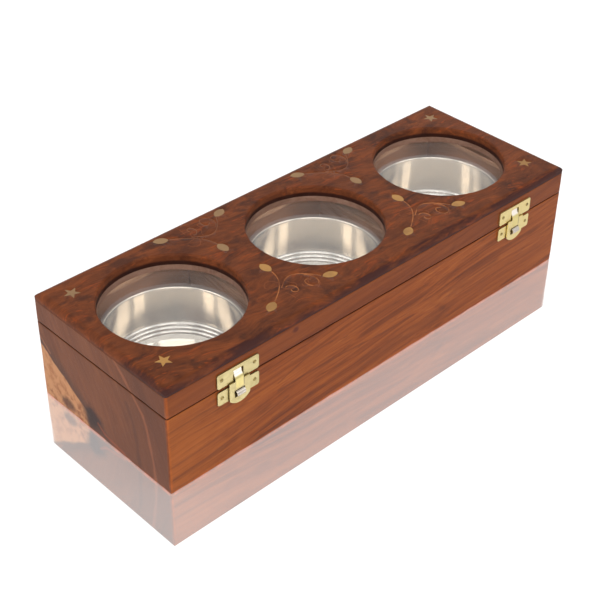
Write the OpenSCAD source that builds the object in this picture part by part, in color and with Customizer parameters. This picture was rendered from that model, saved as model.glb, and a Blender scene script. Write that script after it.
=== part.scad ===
// Wooden spice box with a hinged lid, three glazed round windows and three steel bowls.
// X runs along the box, Y from the clasps at the front to the hinges at the back, Z up.
// The origin is the centre of the underside, and every length is in millimetres.

/* [Box] */
// Height of the base walls
base_h = 49.2; // [48:0.1:56]
// Thickness of the base walls and the lid rails
wall_t = 8; // [7:0.1:9]
// Radius of the four upright corners
corner_r = 1.5; // [0.8:0.1:2.5]
// Radius that eases the long outer edges of walls and rails
ease_r = 0.7; // [0.3:0.1:1.2]
// Gap between base and lid when the lid is shut
seam_gap = 0.4; // [0.2:0.1:0.8]

/* [Floor and partitions] */
// Thickness of the floor board
floor_t = 8; // [5:0.5:9]
// Height of the floor board's underside above the table
floor_z = 8; // [5:0.5:9]
// How far the floor board is let into the walls
floor_let = 3; // [2:0.5:4]
// Thickness of the two partitions
partition_t = 8; // [5:0.5:12]
// Height of the partitions above the floor
partition_h = 28; // [20:0.5:31]
// How far the partitions are let into the long walls
partition_let = 2; // [1:0.5:3]
// Play round a board that is let into another
board_play = 0.15; // [0.05:0.05:0.3]

/* [Lid] */
// Height of the lid rails
rail_h = 13.5; // [13:0.1:18]
// Thickness of the top board's rounded lip over the rails
lip_t = 4.2; // [3.5:0.1:5]
// Straight strip left below the round-over along the lip
edge_flat = 0.1; // [0.1:0.1:2]
// Full thickness of the top board between the rails
board_t = 6.5; // [6:0.1:8]
// Thickness of the lining board under the top board
lining_t = 3.4; // [2.5:0.1:4]
// Thickness of the glass pane
glass_t = 2; // [1.5:0.1:2.5]
// Play round the glass pane
glass_play = 0.5; // [0.3:0.1:1]
// Width of the battens that hold the glass
batten_w = 4.5; // [3.5:0.1:4.6]
// Height of the battens
batten_h = 3; // [2:0.1:3.5]

/* [Windows] */
// How much wider the windows are than the bowls under them, in radius
window_over = 0.3; // [0:0.1:2]
// Wood between one window and the next
window_gap = 24.1; // [20:0.1:32]
// Wood between the outer windows and the ends of the box
end_margin = 10.5; // [10:0.1:20]
// Wood between the windows and the front of the box
front_margin = 16.4; // [15:0.1:24]
// Wood between the windows and the back of the box
back_margin = 13; // [13:0.1:20]
// Radius of the round-over at the rim of each window
window_ease = 1.3; // [0.5:0.1:2]
// Step from the top board's hole in to the lining board's hole
lining_step = 0.3; // [0.1:0.1:1]

/* [Bowls] */
// Outer radius of a bowl at its rolled rim
bowl_r = 39; // [32:0.1:48]
// Height of a bowl
bowl_h = 30; // [24:0.5:31]
// Thickness of the bowl's steel
bowl_t = 0.8; // [0.5:0.1:0.9]
// Radius of the roll along the rim
bowl_roll_r = 0.9; // [0.7:0.1:1.2]
// How far the rim reaches out past the bowl's flat bottom
bowl_flare = 5.5; // [4:0.1:8]
// Height of each of the three steps pressed round the bottom
bowl_ring_h = 1.9; // [1.5:0.1:2.6]

/* [Inlay] */
// Depth of the brass inlay in the top board
inlay_t = 0.8; // [0.5:0.1:1.5]
// Play round each inlay in its pocket
inlay_play = 0.05; // [0.02:0.01:0.1]
// Tip radius of a star
star_r = 4.7; // [3:0.1:5.5]
// Radius of a star between its points
star_waist_r = 2; // [1.2:0.1:2.4]
// Distance of the stars from the ends of the box
star_end = 14.5; // [12:0.1:16]
// Distance of the front stars from the front
star_front = 18.7; // [12:0.1:19.5]
// Distance of the back stars from the back
star_back = 14; // [11.5:0.1:15]
// Length of a leaf
leaf_l = 8.8; // [6:0.1:10]
// Width of a leaf
leaf_w = 5.4; // [3:0.1:6]
// Sideways reach of a spray's outer leaves from its middle
spray_reach = 21; // [19:0.1:23]
// Distance from a spray's outer leaves to its middle leaf
spray_h = 27.6; // [26:0.1:29]
// Distance of the front sprays' outer leaves from the front
spray_front = 15.4; // [13:0.1:17]
// Distance of the back sprays' outer leaves from the back
spray_back = 7.6; // [7:0.1:12]
// How far the front sprays sit to the right, and the back ones to the left
spray_shift = 2; // [0:0.1:3]
// Width of the vine wires
wire_w = 0.5; // [0.4:0.1:1]
// Depth of the vine wires
wire_t = 0.6; // [0.4:0.1:1]

/* [Clasps] */
// Distance of the clasps from the ends of the box
clasp_end = 45; // [38:0.5:60]
// Thickness of the clasp plates
plate_t = 0.9; // [0.6:0.1:1.2]
// Width of the clasp plates
plate_w = 27.4; // [24:0.2:32]
// Height of the lid plate
lid_plate_h = 8.8; // [8.5:0.1:9.5]
// Distance from the lid rail's lower edge to the lid plate
lid_plate_lift = 1; // [0.5:0.1:1.5]
// Height of the base plate
base_plate_h = 8.4; // [7.5:0.1:9]
// Distance from the base wall's upper edge down to the base plate
base_plate_drop = 0.8; // [0.4:0.1:1.5]
// Radius of the plates' corners
plate_corner_r = 1.3; // [0.6:0.1:2]
// Width of the windows in lid plate and hasp
slot_w = 6.8; // [6.4:0.1:8]
// Strip of the lid plate left below its window
lid_bar_h = 0.8; // [0.6:0.1:1]
// Strip of the lid plate left above its window
lid_top_bar_h = 2.2; // [1.8:0.1:2.4]
// Thickness of the hasp
hasp_t = 0.7; // [0.5:0.1:0.9]
// Gap between the hasp and the plates behind it
hasp_gap = 0.3; // [0.2:0.05:0.5]
// Width of the hasp's tongue
hasp_w = 13.4; // [12:0.1:15]
// Width of the strip that joins the tongue to its eye
strap_w = 5.6; // [4.5:0.1:5.8]
// Distance from the lid rail's lower edge down to the tip of the tongue
hasp_drop = 13; // [12.5:0.1:13.5]
// Rise of the tongue's rounded tip
hasp_tip_h = 3.2; // [2.5:0.1:4]
// Height of the hasp's window
hasp_slot_h = 4.6; // [4.2:0.1:5]
// Strip of the tongue left below its window
hasp_bar_h = 4; // [3.5:0.1:4.4]
// Radius of the pin that the hasp turns on
hasp_pin_r = 0.5; // [0.4:0.05:0.6]
// Outer radius of the eye round that pin
hasp_eye_r = 1.15; // [1.1:0.05:1.2]
// Gap between the spring catch and the hasp's window, above and below
catch_gap = 0.4; // [0.3:0.05:0.5]
// Thickness of the spring catch
catch_t = 0.6; // [0.4:0.1:0.7]

/* [Hinges] */
// Distance of the hinges from the ends of the box
hinge_end = 62; // [45:0.5:80]
// Length of a hinge
hinge_l = 24; // [20:0.5:30]
// Height of each hinge leaf
leaf_h = 11; // [9:0.1:12]
// Thickness of the hinge leaves
hinge_t = 0.9; // [0.6:0.1:1]
// Outer radius of the hinge knuckles
knuckle_r = 1.6; // [1.4:0.1:1.9]
// Radius of the hinge pin
hinge_pin_r = 0.7; // [0.5:0.05:0.8]
// Gap between one knuckle and the next, and round each knuckle
knuckle_gap = 0.3; // [0.2:0.05:0.4]
// Radial play of a pin in its bore
pin_play = 0.05; // [0.03:0.01:0.08]

/* [Nails] */
// Radius of a nail's shank
nail_r = 0.5; // [0.4:0.05:0.7]
// Radius of a nail's head
nail_head_r = 1.1; // [0.9:0.05:1.4]
// Height of a nail's head
nail_head_h = 0.4; // [0.3:0.05:0.5]
// Length of a nail's shank in the wood
nail_l = 5; // [3:0.5:5.5]
// Distance of the nails from the ends of a plate or leaf
nail_inset = 2.9; // [2.2:0.1:3.4]

/* [Hidden] */
$fn = 96;
// Overshoot of a cutter past the face it opens
over = 1;

bowl_flat_r = bowl_r - bowl_flare;
window_r = bowl_r + window_over;
window_pitch = 2 * window_r + window_gap;
box_l = 2 * window_pitch + 2 * window_r + 2 * end_margin;
box_w = 2 * window_r + front_margin + back_margin;
// How far the row of windows and bowls lies behind the middle of the box
row_y = (front_margin - back_margin) / 2;
inner_l = box_l - 2 * wall_t;
inner_w = box_w - 2 * wall_t;
front_y = -box_w / 2;
back_y = box_w / 2;
floor_top = floor_z + floor_t;
lid_z = base_h + seam_gap;
rail_top = lid_z + rail_h;
top_z = rail_top + lip_t;
board_z = top_z - board_t;
lining_z = board_z - lining_t;
glass_z = lining_z - glass_t;
batten_z = glass_z - batten_h;
round_r = lip_t - edge_flat;

clasp_x = box_l / 2 - clasp_end;
hinge_x = box_l / 2 - hinge_end;

// Heights of the clasp's parts
lid_plate_z = lid_z + lid_plate_lift;
lid_slot_z = lid_plate_z + lid_bar_h;
lid_slot_top = lid_plate_z + lid_plate_h - lid_top_bar_h;
base_plate_top = base_h - base_plate_drop;
base_plate_z = base_plate_top - base_plate_h;
tip_z = lid_z - hasp_drop;
hasp_slot_z = tip_z + hasp_bar_h;
hasp_slot_top = hasp_slot_z + hasp_slot_h;
hasp_top = lid_plate_z;
hasp_back_y = front_y - plate_t - hasp_gap;
hasp_front_y = hasp_back_y - hasp_t;

// The hasp's pin lies behind the lid plate, in a groove in the rail
pin_cover = 0.3;
eye_y = front_y + pin_cover + hasp_pin_r;
eye_drop = 0.8;
eye_z = lid_slot_top - hasp_eye_r - eye_drop;
pin_reach = slot_w / 2 + 1.6;

// The hinge axis lies just outside the back, at the seam
axis_y = back_y + knuckle_gap + knuckle_r;
axis_z = base_h + seam_gap / 2;
knuckle_l = (hinge_l - 2 * knuckle_gap) / 3;
leaf_nail_z = leaf_h * 0.6;
// The catches stand out at the front as far as the hinges do at the back
reach_y = axis_y + knuckle_r;

function side_sign(side) = side == "left" ? -1 : 1;

// Points along a cubic curve through its four control points
function curve_point(c, t) =
    pow(1 - t, 3) * c[0] + 3 * pow(1 - t, 2) * t * c[1]
    + 3 * (1 - t) * t * t * c[2] + pow(t, 3) * c[3];
function curve(c, steps) = [for (i = [0 : steps]) curve_point(c, i / steps)];

// Points along a spiral round a centre, from one radius to another
function spiral(centre, r0, r1, a0, a1, steps) = [
    for (i = [0 : steps])
        let (s = i / steps, a = a0 + (a1 - a0) * s, r = r0 + (r1 - r0) * s)
        centre + r * [cos(a), sin(a)]
];

// Cuts the corners off a row of points
function soften(p) = [
    p[0],
    for (i = [0 : len(p) - 2], s = [0.25, 0.75])
        if (i + s > 0.5 && i + s < len(p) - 1.5) p[i] * (1 - s) + p[i + 1] * s,
    p[len(p) - 1]
];

// Outline of a ribbon of even width that follows a row of points
function heading(p, i) =
    let (d = p[min(i + 1, len(p) - 1)] - p[max(i - 1, 0)]) d / norm(d);
function beside(p, i, reach) =
    let (d = heading(p, i)) p[i] + reach * [-d[1], d[0]];
function ribbon(p, width) = concat(
    [for (i = [0 : len(p) - 1]) beside(p, i, width / 2)],
    [for (i = [len(p) - 1 : -1 : 0]) beside(p, i, -width / 2)]
);

module rounded_rect(l, w, r) {
    square([l - 2 * r, w], center = true);
    square([l, w - 2 * r], center = true);
    for (sx = [-1, 1], sy = [-1, 1])
        translate([sx * (l / 2 - r), sy * (w / 2 - r)]) circle(r);
}

// What an eased corner at the origin loses from a face that lies in the first quadrant
module corner_loss(r) {
    difference() {
        translate([-over, -over]) square(r + over);
        translate([r, r]) circle(r);
    }
}

// Section of a wall: the outer face at x = 0, eased along its upper and lower edges
module side_section(h) {
    difference() {
        square([wall_t, h]);
        corner_loss(ease_r);
        translate([0, h]) mirror([0, 1]) corner_loss(ease_r);
    }
}

// One of the four mitred boards of a frame that stands on height z and is h tall
module long_side(z, h) {
    intersection() {
        translate([-box_l / 2, front_y, z]) rotate([90, 0, 90]) linear_extrude(box_l) side_section(h);
        translate([0, 0, z - over]) linear_extrude(h + 2 * over)
            polygon([
                [-box_l / 2, front_y],
                [box_l / 2, front_y],
                [box_l / 2 - wall_t, front_y + wall_t],
                [wall_t - box_l / 2, front_y + wall_t]
            ]);
        translate([0, 0, z - over]) linear_extrude(h + 2 * over) rounded_rect(box_l, box_w, corner_r);
    }
}
module short_side(z, h) {
    intersection() {
        translate([-box_l / 2, back_y, z]) rotate([90, 0, 0]) linear_extrude(box_w) side_section(h);
        translate([0, 0, z - over]) linear_extrude(h + 2 * over)
            polygon([
                [-box_l / 2, front_y],
                [wall_t - box_l / 2, front_y + wall_t],
                [wall_t - box_l / 2, back_y - wall_t],
                [-box_l / 2, back_y]
            ]);
        translate([0, 0, z - over]) linear_extrude(h + 2 * over) rounded_rect(box_l, box_w, corner_r);
    }
}

// Space that the floor board and the partitions take up in the walls
module floor_housing() {
    l = inner_l + 2 * floor_let;
    w = inner_w + 2 * floor_let;
    translate([-l / 2, -w / 2, floor_z - board_play]) cube([l, w, floor_t + 2 * board_play]);
}
module partition_housings() {
    w = inner_w + 2 * partition_let;
    for (s = [-1, 1])
        translate([s * window_pitch / 2 - partition_t / 2 - board_play, -w / 2, floor_top])
            cube([partition_t + 2 * board_play, w, partition_h + board_play]);
}

// Nails: places on the front and back faces, and one nail that points along +Y
module at_clasp_nails(z) {
    for (sx = [-1, 1], e = [-1, 1])
        translate([sx * clasp_x + e * (plate_w / 2 - nail_inset), front_y, z]) children();
}
module at_hinge_nails(z) {
    for (sx = [-1, 1], e = [-1, 1])
        translate([sx * hinge_x + e * (hinge_l / 2 - nail_inset), back_y, z]) rotate(180) children();
}
module nail(under) {
    translate([0, -under, 0]) rotate([-90, 0, 0]) cylinder(r = nail_r, h = nail_l + under);
    translate([0, -under, 0]) rotate([90, 0, 0]) cylinder(r1 = nail_head_r, r2 = nail_head_r * 0.75, h = nail_head_h);
}
module nail_hole() {
    translate([0, -over, 0]) rotate([-90, 0, 0])
        cylinder(r = nail_r + inlay_play, h = nail_l + over + inlay_play);
}
base_clasp_nail_z = base_plate_z + base_plate_h / 2;
lid_clasp_nail_z = lid_plate_z + lid_plate_h * 0.56;
base_hinge_nail_z = axis_z - leaf_nail_z;
lid_hinge_nail_z = axis_z + leaf_nail_z;

// Base
module front_wall() {
    color("sienna") difference() {
        long_side(0, base_h);
        floor_housing();
        partition_housings();
        at_clasp_nails(base_clasp_nail_z) nail_hole();
    }
}
module back_wall() {
    color("sienna") difference() {
        mirror([0, 1, 0]) long_side(0, base_h);
        floor_housing();
        partition_housings();
        at_hinge_nails(base_hinge_nail_z) nail_hole();
    }
}
module end_wall(side) {
    color("sienna") difference() {
        if (side == "left") short_side(0, base_h);
        else mirror([1, 0, 0]) short_side(0, base_h);
        floor_housing();
    }
}
module floor_board() {
    l = inner_l + 2 * (floor_let - board_play);
    w = inner_w + 2 * (floor_let - board_play);
    color("saddlebrown") translate([-l / 2, -w / 2, floor_z]) cube([l, w, floor_t]);
}
module partition(side) {
    w = inner_w + 2 * (partition_let - board_play);
    color("sienna") translate([side_sign(side) * window_pitch / 2 - partition_t / 2, -w / 2, floor_top])
        cube([partition_t, w, partition_h]);
}

// Lid
module clasp_pocket() {
    for (sx = [-1, 1])
        translate([sx * clasp_x, 0, 0]) {
            translate([-slot_w / 2, front_y - over, lid_slot_z])
                cube([slot_w, over + eye_y - front_y + hasp_eye_r + hasp_gap, lid_slot_top - lid_slot_z]);
            translate([-pin_reach - board_play, front_y - over, eye_z - hasp_pin_r - pin_play])
                cube([
                    2 * (pin_reach + board_play),
                    over + eye_y - front_y + hasp_pin_r + pin_play,
                    2 * (hasp_pin_r + pin_play)
                ]);
        }
}
module lid_front_rail() {
    color("sienna") difference() {
        long_side(lid_z, rail_h);
        clasp_pocket();
        at_clasp_nails(lid_clasp_nail_z) nail_hole();
    }
}
module lid_back_rail() {
    color("sienna") difference() {
        mirror([0, 1, 0]) long_side(lid_z, rail_h);
        at_hinge_nails(lid_hinge_nail_z) nail_hole();
    }
}
module lid_end_rail(side) {
    color("sienna")
        if (side == "left") short_side(lid_z, rail_h);
        else mirror([1, 0, 0]) short_side(lid_z, rail_h);
}

// Section of the top board across a width: a lip with rounded corners over a narrower body
module board_section(w) {
    body_w = w - 2 * (wall_t + board_play);
    translate([-body_w / 2, 0]) square([body_w, board_t]);
    intersection() {
        translate([-w / 2, board_t - lip_t]) square([w, lip_t]);
        union() {
            translate([-w / 2, board_t - lip_t]) square([w, lip_t - round_r]);
            translate([round_r - w / 2, board_t - lip_t]) square([w - 2 * round_r, lip_t]);
            for (s = [-1, 1])
                translate([s * (w / 2 - round_r), board_t - round_r]) circle(round_r);
        }
    }
}
module at_windows() {
    for (i = [-1 : 1]) translate([i * window_pitch, row_y, 0]) children();
}
module window_cutter() {
    translate([0, 0, lining_z - over]) cylinder(r = window_r, h = board_t + lining_t + 2 * over);
    rotate_extrude() difference() {
        translate([window_r - over, top_z - window_ease]) square([window_ease + over, window_ease + over]);
        translate([window_r + window_ease, top_z - window_ease]) circle(window_ease);
    }
}
module lid_top_board() {
    color("saddlebrown") difference() {
        intersection() {
            translate([-box_l / 2, 0, board_z]) rotate([90, 0, 90]) linear_extrude(box_l)
                board_section(box_w);
            translate([0, box_w / 2, board_z]) rotate([90, 0, 0]) linear_extrude(box_w)
                board_section(box_l);
            translate([0, 0, board_z]) linear_extrude(board_t) rounded_rect(box_l, box_w, corner_r);
        }
        at_windows() window_cutter();
        translate([0, 0, top_z - inlay_t - inlay_play]) linear_extrude(inlay_t + over) {
            stars(inlay_play);
            leaves(inlay_play);
        }
        translate([0, 0, top_z - wire_t - inlay_play]) linear_extrude(wire_t + over) vines(inlay_play);
    }
}
module lid_lining_board() {
    l = inner_l - 2 * board_play;
    w = inner_w - 2 * board_play;
    color("saddlebrown") difference() {
        translate([-l / 2, -w / 2, lining_z]) cube([l, w, lining_t]);
        at_windows() translate([0, 0, lining_z - over])
            cylinder(r = window_r - lining_step, h = lining_t + 2 * over);
    }
}
module glass_pane() {
    l = inner_l - 2 * glass_play;
    w = inner_w - 2 * glass_play;
    color([0.8, 0.85, 0.85, 0.35]) translate([-l / 2, -w / 2, glass_z]) cube([l, w, glass_t]);
}
module long_batten(sy) {
    l = inner_l - 2 * board_play;
    y = sy < 0 ? -inner_w / 2 + board_play : inner_w / 2 - board_play - batten_w;
    color("sienna") translate([-l / 2, y, batten_z]) cube([l, batten_w, batten_h]);
}
module short_batten(sx) {
    w = inner_w - 2 * (batten_w + 2 * board_play);
    x = sx < 0 ? -inner_l / 2 + board_play : inner_l / 2 - board_play - batten_w;
    color("sienna") translate([x, -w / 2, batten_z]) cube([batten_w, w, batten_h]);
}

// Inlay, drawn flat; play makes the pocket round it
module star(play) {
    points = [
        for (i = [0 : 9])
            let (r = (i % 2 == 0 ? star_r : star_waist_r) + play)
            r * [cos(90 + i * 36), sin(90 + i * 36)]
    ];
    polygon(points);
}
module stars(play) {
    for (sx = [-1, 1]) {
        translate([sx * (box_l / 2 - star_end), front_y + star_front]) rotate(sx < 0 ? -8 : 20) star(play);
        translate([sx * (box_l / 2 - star_end), back_y - star_back]) rotate(sx < 0 ? 14 : -4) star(play);
    }
}
// A leaf is the lens between two arcs, with its points on the x axis
leaf_r = (leaf_l * leaf_l + leaf_w * leaf_w) / (4 * leaf_w);
module leaf(play) {
    intersection_for (s = [-1, 1])
        translate([0, s * (leaf_r - leaf_w / 2)]) circle(leaf_r + play);
}
// Four sprays: one at the front and one at the back of each space between windows
module at_sprays() {
    for (sx = [-1, 1], sy = [-1, 1])
        translate([sx * window_pitch / 2 - sy * spray_shift, sy < 0 ? front_y + spray_front : back_y - spray_back])
            mirror([0, sy < 0 ? 0 : 1]) children();
}
module leaves(play) {
    at_sprays() {
        translate([-spray_reach, 0]) rotate(28) leaf(play);
        translate([spray_reach, 0]) rotate(-20) leaf(play);
        translate([0, spray_h]) rotate(90) leaf(play);
    }
}
// The vine of one spray, as shares of its reach and height
module vine_line(points, play) {
    polygon(ribbon([for (p = points) [p[0] * spray_reach, p[1] * spray_h]], wire_w + 2 * play));
}
module vines(play) {
    at_sprays() {
        vine_line(curve([[0, 0.83], [-0.05, 0.5], [-0.29, 0.32], [-0.79, 0.08]], 12), play);
        vine_line(curve([[-0.3, 0.31], [-0.05, 0.39], [0.24, 0.79], [0.8, 0.09]], 14), play);
        vine_line(spiral([0.43, 0.1], 0.24, 0.07, 75, -330, 22), play);
        vine_line(spiral([-0.12, 0.12], 0.17, 0.05, 120, -210, 18), play);
    }
}
module brass_stars() {
    color("burlywood") translate([0, 0, top_z - inlay_t]) linear_extrude(inlay_t) stars(0);
}
module brass_leaves() {
    color("burlywood") translate([0, 0, top_z - inlay_t]) linear_extrude(inlay_t) leaves(0);
}
module brass_vines() {
    color("peru") translate([0, 0, top_z - wire_t]) linear_extrude(wire_t) vines(0);
}

// Clasps, each drawn in the plane y = 0 with x along the box, its back face on y = 0
module plate_solid(w, z, h) {
    rotate([90, 0, 0]) linear_extrude(plate_t)
        translate([0, z + h / 2]) rounded_rect(w, h, plate_corner_r);
}
module plate_nail_holes(z) {
    for (e = [-1, 1])
        translate([e * (plate_w / 2 - nail_inset), over, z]) rotate([90, 0, 0])
            cylinder(r = nail_r + inlay_play, h = plate_t + 2 * over);
}
module at_clasp(side) {
    translate([side_sign(side) * clasp_x, 0, 0]) children();
}
module clasp_lid_plate(side) {
    color("khaki") at_clasp(side) translate([0, front_y, 0]) difference() {
        plate_solid(plate_w, lid_plate_z, lid_plate_h);
        plate_nail_holes(lid_clasp_nail_z);
        translate([-slot_w / 2, -plate_t - over, lid_slot_z])
            cube([slot_w, plate_t + 2 * over, lid_slot_top - lid_slot_z]);
    }
}
module clasp_base_plate(side) {
    color("khaki") at_clasp(side) translate([0, front_y, 0]) difference() {
        plate_solid(plate_w, base_plate_z, base_plate_h);
        plate_nail_holes(base_clasp_nail_z);
    }
}
module clasp_pin(side) {
    color("goldenrod") at_clasp(side) translate([-pin_reach, eye_y, eye_z]) rotate([0, 90, 0])
        cylinder(r = hasp_pin_r, h = 2 * pin_reach);
}
// The hasp: an eye round its pin, a strap that comes out through the lid plate's window, and a tongue
tip_r = (hasp_w * hasp_w / 4 + hasp_tip_h * hasp_tip_h) / (2 * hasp_tip_h);
module tongue_outline() {
    difference() {
        intersection() {
            translate([-hasp_w / 2, tip_z]) square([hasp_w, hasp_top - tip_z]);
            union() {
                translate([0, tip_z + tip_r]) circle(tip_r);
                translate([-hasp_w / 2, tip_z + hasp_tip_h])
                    square([hasp_w, hasp_top - tip_z - hasp_tip_h]);
            }
        }
        translate([-slot_w / 2, hasp_slot_z]) square([slot_w, hasp_slot_h]);
    }
}
module hasp(side) {
    strap_y = hasp_back_y - hasp_t / 2;
    strap_x = eye_y - hasp_eye_r + hasp_t / 2;
    strap_top = eye_z - hasp_eye_r * 0.35;
    strap = concat(
        curve([
            [strap_x, strap_top],
            [strap_x, strap_top - 1.4],
            [strap_y, lid_slot_z + 1.6],
            [strap_y, lid_slot_z]
        ], 16),
        [[strap_y, hasp_top - hasp_t]]
    );
    color("khaki") at_clasp(side) {
        translate([0, hasp_back_y, 0]) rotate([90, 0, 0]) linear_extrude(hasp_t) tongue_outline();
        translate([-strap_w / 2, 0, 0]) rotate([90, 0, 90]) linear_extrude(strap_w)
            difference() {
                union() {
                    translate([eye_y, eye_z]) circle(hasp_eye_r);
                    polygon(ribbon(strap, hasp_t));
                }
                translate([eye_y, eye_z]) circle(hasp_pin_r + pin_play);
            }
    }
}
// The spring catch: a strip from the base plate that arches out through the hasp's window
module catch_spring(side) {
    arch_r = hasp_slot_h / 2 - catch_gap;
    arch_y = arch_r - reach_y;
    arch_z = (hasp_slot_z + hasp_slot_top) / 2;
    foot_l = hasp_back_y - arch_y;
    color("khaki") at_clasp(side) translate([-strap_w / 2, 0, 0]) rotate([90, 0, 90])
        linear_extrude(strap_w) {
            difference() {
                translate([arch_y, arch_z]) circle(arch_r);
                translate([arch_y, arch_z]) circle(arch_r - catch_t);
                translate([arch_y, arch_z - arch_r - over]) square(2 * (arch_r + over));
            }
            translate([arch_y, arch_z + arch_r - catch_t]) square([front_y - plate_t - arch_y, catch_t]);
            translate([arch_y, arch_z - arch_r]) square([foot_l, catch_t]);
        }
}

// Hinges, drawn round the axis; the lid leaf carries the middle knuckle
module knuckle(i) {
    translate([-hinge_l / 2 + i * (knuckle_l + knuckle_gap), 0, 0]) rotate([0, 90, 0])
        cylinder(r = knuckle_r, h = knuckle_l);
}
// Room in a leaf for a knuckle of the other leaf
module knuckle_room(i) {
    room = knuckle_r + knuckle_gap;
    translate([-hinge_l / 2 + i * (knuckle_l + knuckle_gap) - knuckle_gap, -room - over, -room])
        cube([knuckle_l + 2 * knuckle_gap, room + over, 2 * room]);
}
module hinge_leaf(side, up, own, other) {
    translate([side_sign(side) * hinge_x, axis_y, axis_z]) difference() {
        union() {
            difference() {
                translate([-hinge_l / 2, back_y - axis_y, up ? 0 : -leaf_h]) cube([hinge_l, hinge_t, leaf_h]);
                for (i = other) knuckle_room(i);
            }
            for (i = own) knuckle(i);
        }
        translate([-hinge_l / 2 - over, 0, 0]) rotate([0, 90, 0])
            cylinder(r = hinge_pin_r + pin_play, h = hinge_l + 2 * over);
        for (e = [-1, 1])
            translate([e * (hinge_l / 2 - nail_inset), back_y - axis_y - over, (up ? 1 : -1) * leaf_nail_z])
                rotate([-90, 0, 0]) cylinder(r = nail_r + inlay_play, h = hinge_t + 2 * over);
    }
}
module hinge_base_leaf(side) {
    color("goldenrod") hinge_leaf(side, false, [0, 2], [1]);
}
module hinge_lid_leaf(side) {
    color("goldenrod") hinge_leaf(side, true, [1], [0, 2]);
}
module hinge_pin(side) {
    color("goldenrod") translate([side_sign(side) * hinge_x - hinge_l / 2, axis_y, axis_z]) rotate([0, 90, 0])
        cylinder(r = hinge_pin_r, h = hinge_l);
}
module base_nails() {
    color("gold") {
        at_clasp_nails(base_clasp_nail_z) nail(plate_t);
        at_hinge_nails(base_hinge_nail_z) nail(hinge_t);
    }
}
module lid_nails() {
    color("gold") {
        at_clasp_nails(lid_clasp_nail_z) nail(plate_t);
        at_hinge_nails(lid_hinge_nail_z) nail(hinge_t);
    }
}

// Bowls: a ribbon along the middle line of the steel, closed round the rolled rim
function roll_points(centre, r, a0, a1, steps) = [
    for (i = [0 : steps]) let (a = a0 + (a1 - a0) * i / steps) centre + r * [cos(a), sin(a)]
];
module bowl(i) {
    wall_r = bowl_r - bowl_roll_r;
    z = bowl_t / 2;
    step_run = (wall_r - 1 - bowl_flat_r) / 3;
    roll_z = bowl_h - bowl_roll_r;
    // Angle below the roll's middle at which the wall's two faces meet it
    meet_a = acos(bowl_t / (2 * bowl_roll_r));
    line = soften(concat(
        [[0, z], [bowl_flat_r, z]],
        [
            for (k = [0 : 2], s = [0.2, 1])
                [bowl_flat_r + step_run * (k + s), z + bowl_ring_h * (k + (s < 1 ? 0.8 : 1))]
        ],
        [[wall_r - 0.7, z + bowl_ring_h * 4], [wall_r, roll_z - bowl_roll_r]]
    ));
    side_points = ribbon(line, bowl_t);
    count = len(line);
    outline = concat(
        [for (k = [0 : count - 1]) side_points[k]],
        roll_points([wall_r, roll_z], bowl_roll_r, 180 + meet_a, -meet_a, 14),
        [for (k = [count : 2 * count - 1]) side_points[k]]
    );
    color("silver") translate([i * window_pitch, row_y, floor_top]) rotate_extrude() polygon(outline);
}

front_wall();
back_wall();
end_wall("left");  // left_wall
end_wall("right");  // right_wall
floor_board();
partition("left");  // left_partition
partition("right");  // right_partition
clasp_base_plate("left");  // left_clasp_base_plate
clasp_base_plate("right");  // right_clasp_base_plate
catch_spring("left");  // left_catch
catch_spring("right");  // right_catch
hinge_base_leaf("left");  // left_hinge_base_leaf
hinge_base_leaf("right");  // right_hinge_base_leaf
hinge_pin("left");  // left_hinge_pin
hinge_pin("right");  // right_hinge_pin
base_nails();
lid_front_rail();
lid_back_rail();
lid_end_rail("left");  // lid_left_rail
lid_end_rail("right");  // lid_right_rail
lid_top_board();
lid_lining_board();
glass_pane();
long_batten(-1);  // front_batten
long_batten(1);  // back_batten
short_batten(-1);  // left_batten
short_batten(1);  // right_batten
brass_stars();
brass_leaves();
brass_vines();
clasp_lid_plate("left");  // left_clasp_lid_plate
clasp_lid_plate("right");  // right_clasp_lid_plate
clasp_pin("left");  // left_clasp_pin
clasp_pin("right");  // right_clasp_pin
hinge_lid_leaf("left");  // left_hinge_lid_leaf
hinge_lid_leaf("right");  // right_hinge_lid_leaf
lid_nails();
hasp("left");  // left_hasp
hasp("right");  // right_hasp
bowl(-1);  // left_bowl
bowl(0);  // middle_bowl
bowl(1);  // right_bowl
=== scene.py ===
"""A long wooden spice box with a hinged lid, three round windows and three steel bowls.

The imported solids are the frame. Every board, plate, bowl and inlay that shows is made again here with worn
edges and its own finish, and rides on the body that its solid belongs to. Lengths are in metres, except
where a name ends in _mm. Colours are written as a screen shows them, 0 to 255.
"""

import logging
import math
from dataclasses import dataclass
from enum import Enum
from functools import reduce
from typing import Iterable, Optional, Sequence, Union

import bmesh
import bpy
from bpy.types import ID, Material, Mesh, Node, NodeSocket, NodeTree, Object
from mathutils import Matrix, Vector, noise


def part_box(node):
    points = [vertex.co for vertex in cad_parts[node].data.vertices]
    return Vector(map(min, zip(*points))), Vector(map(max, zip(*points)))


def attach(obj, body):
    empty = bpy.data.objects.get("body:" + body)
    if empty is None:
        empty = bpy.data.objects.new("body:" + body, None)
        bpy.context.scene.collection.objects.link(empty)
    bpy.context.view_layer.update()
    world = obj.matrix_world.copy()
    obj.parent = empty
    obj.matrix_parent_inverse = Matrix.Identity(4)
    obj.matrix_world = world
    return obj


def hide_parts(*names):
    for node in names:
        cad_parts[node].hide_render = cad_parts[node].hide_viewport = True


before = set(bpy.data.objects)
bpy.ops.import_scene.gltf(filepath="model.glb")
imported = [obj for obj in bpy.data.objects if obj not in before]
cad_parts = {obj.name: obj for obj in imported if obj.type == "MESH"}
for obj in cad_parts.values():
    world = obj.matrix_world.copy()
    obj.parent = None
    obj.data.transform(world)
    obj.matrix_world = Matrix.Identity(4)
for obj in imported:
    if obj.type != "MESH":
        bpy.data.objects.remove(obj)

LOG = logging.getLogger("spice_box")
MM = 0.001
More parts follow.
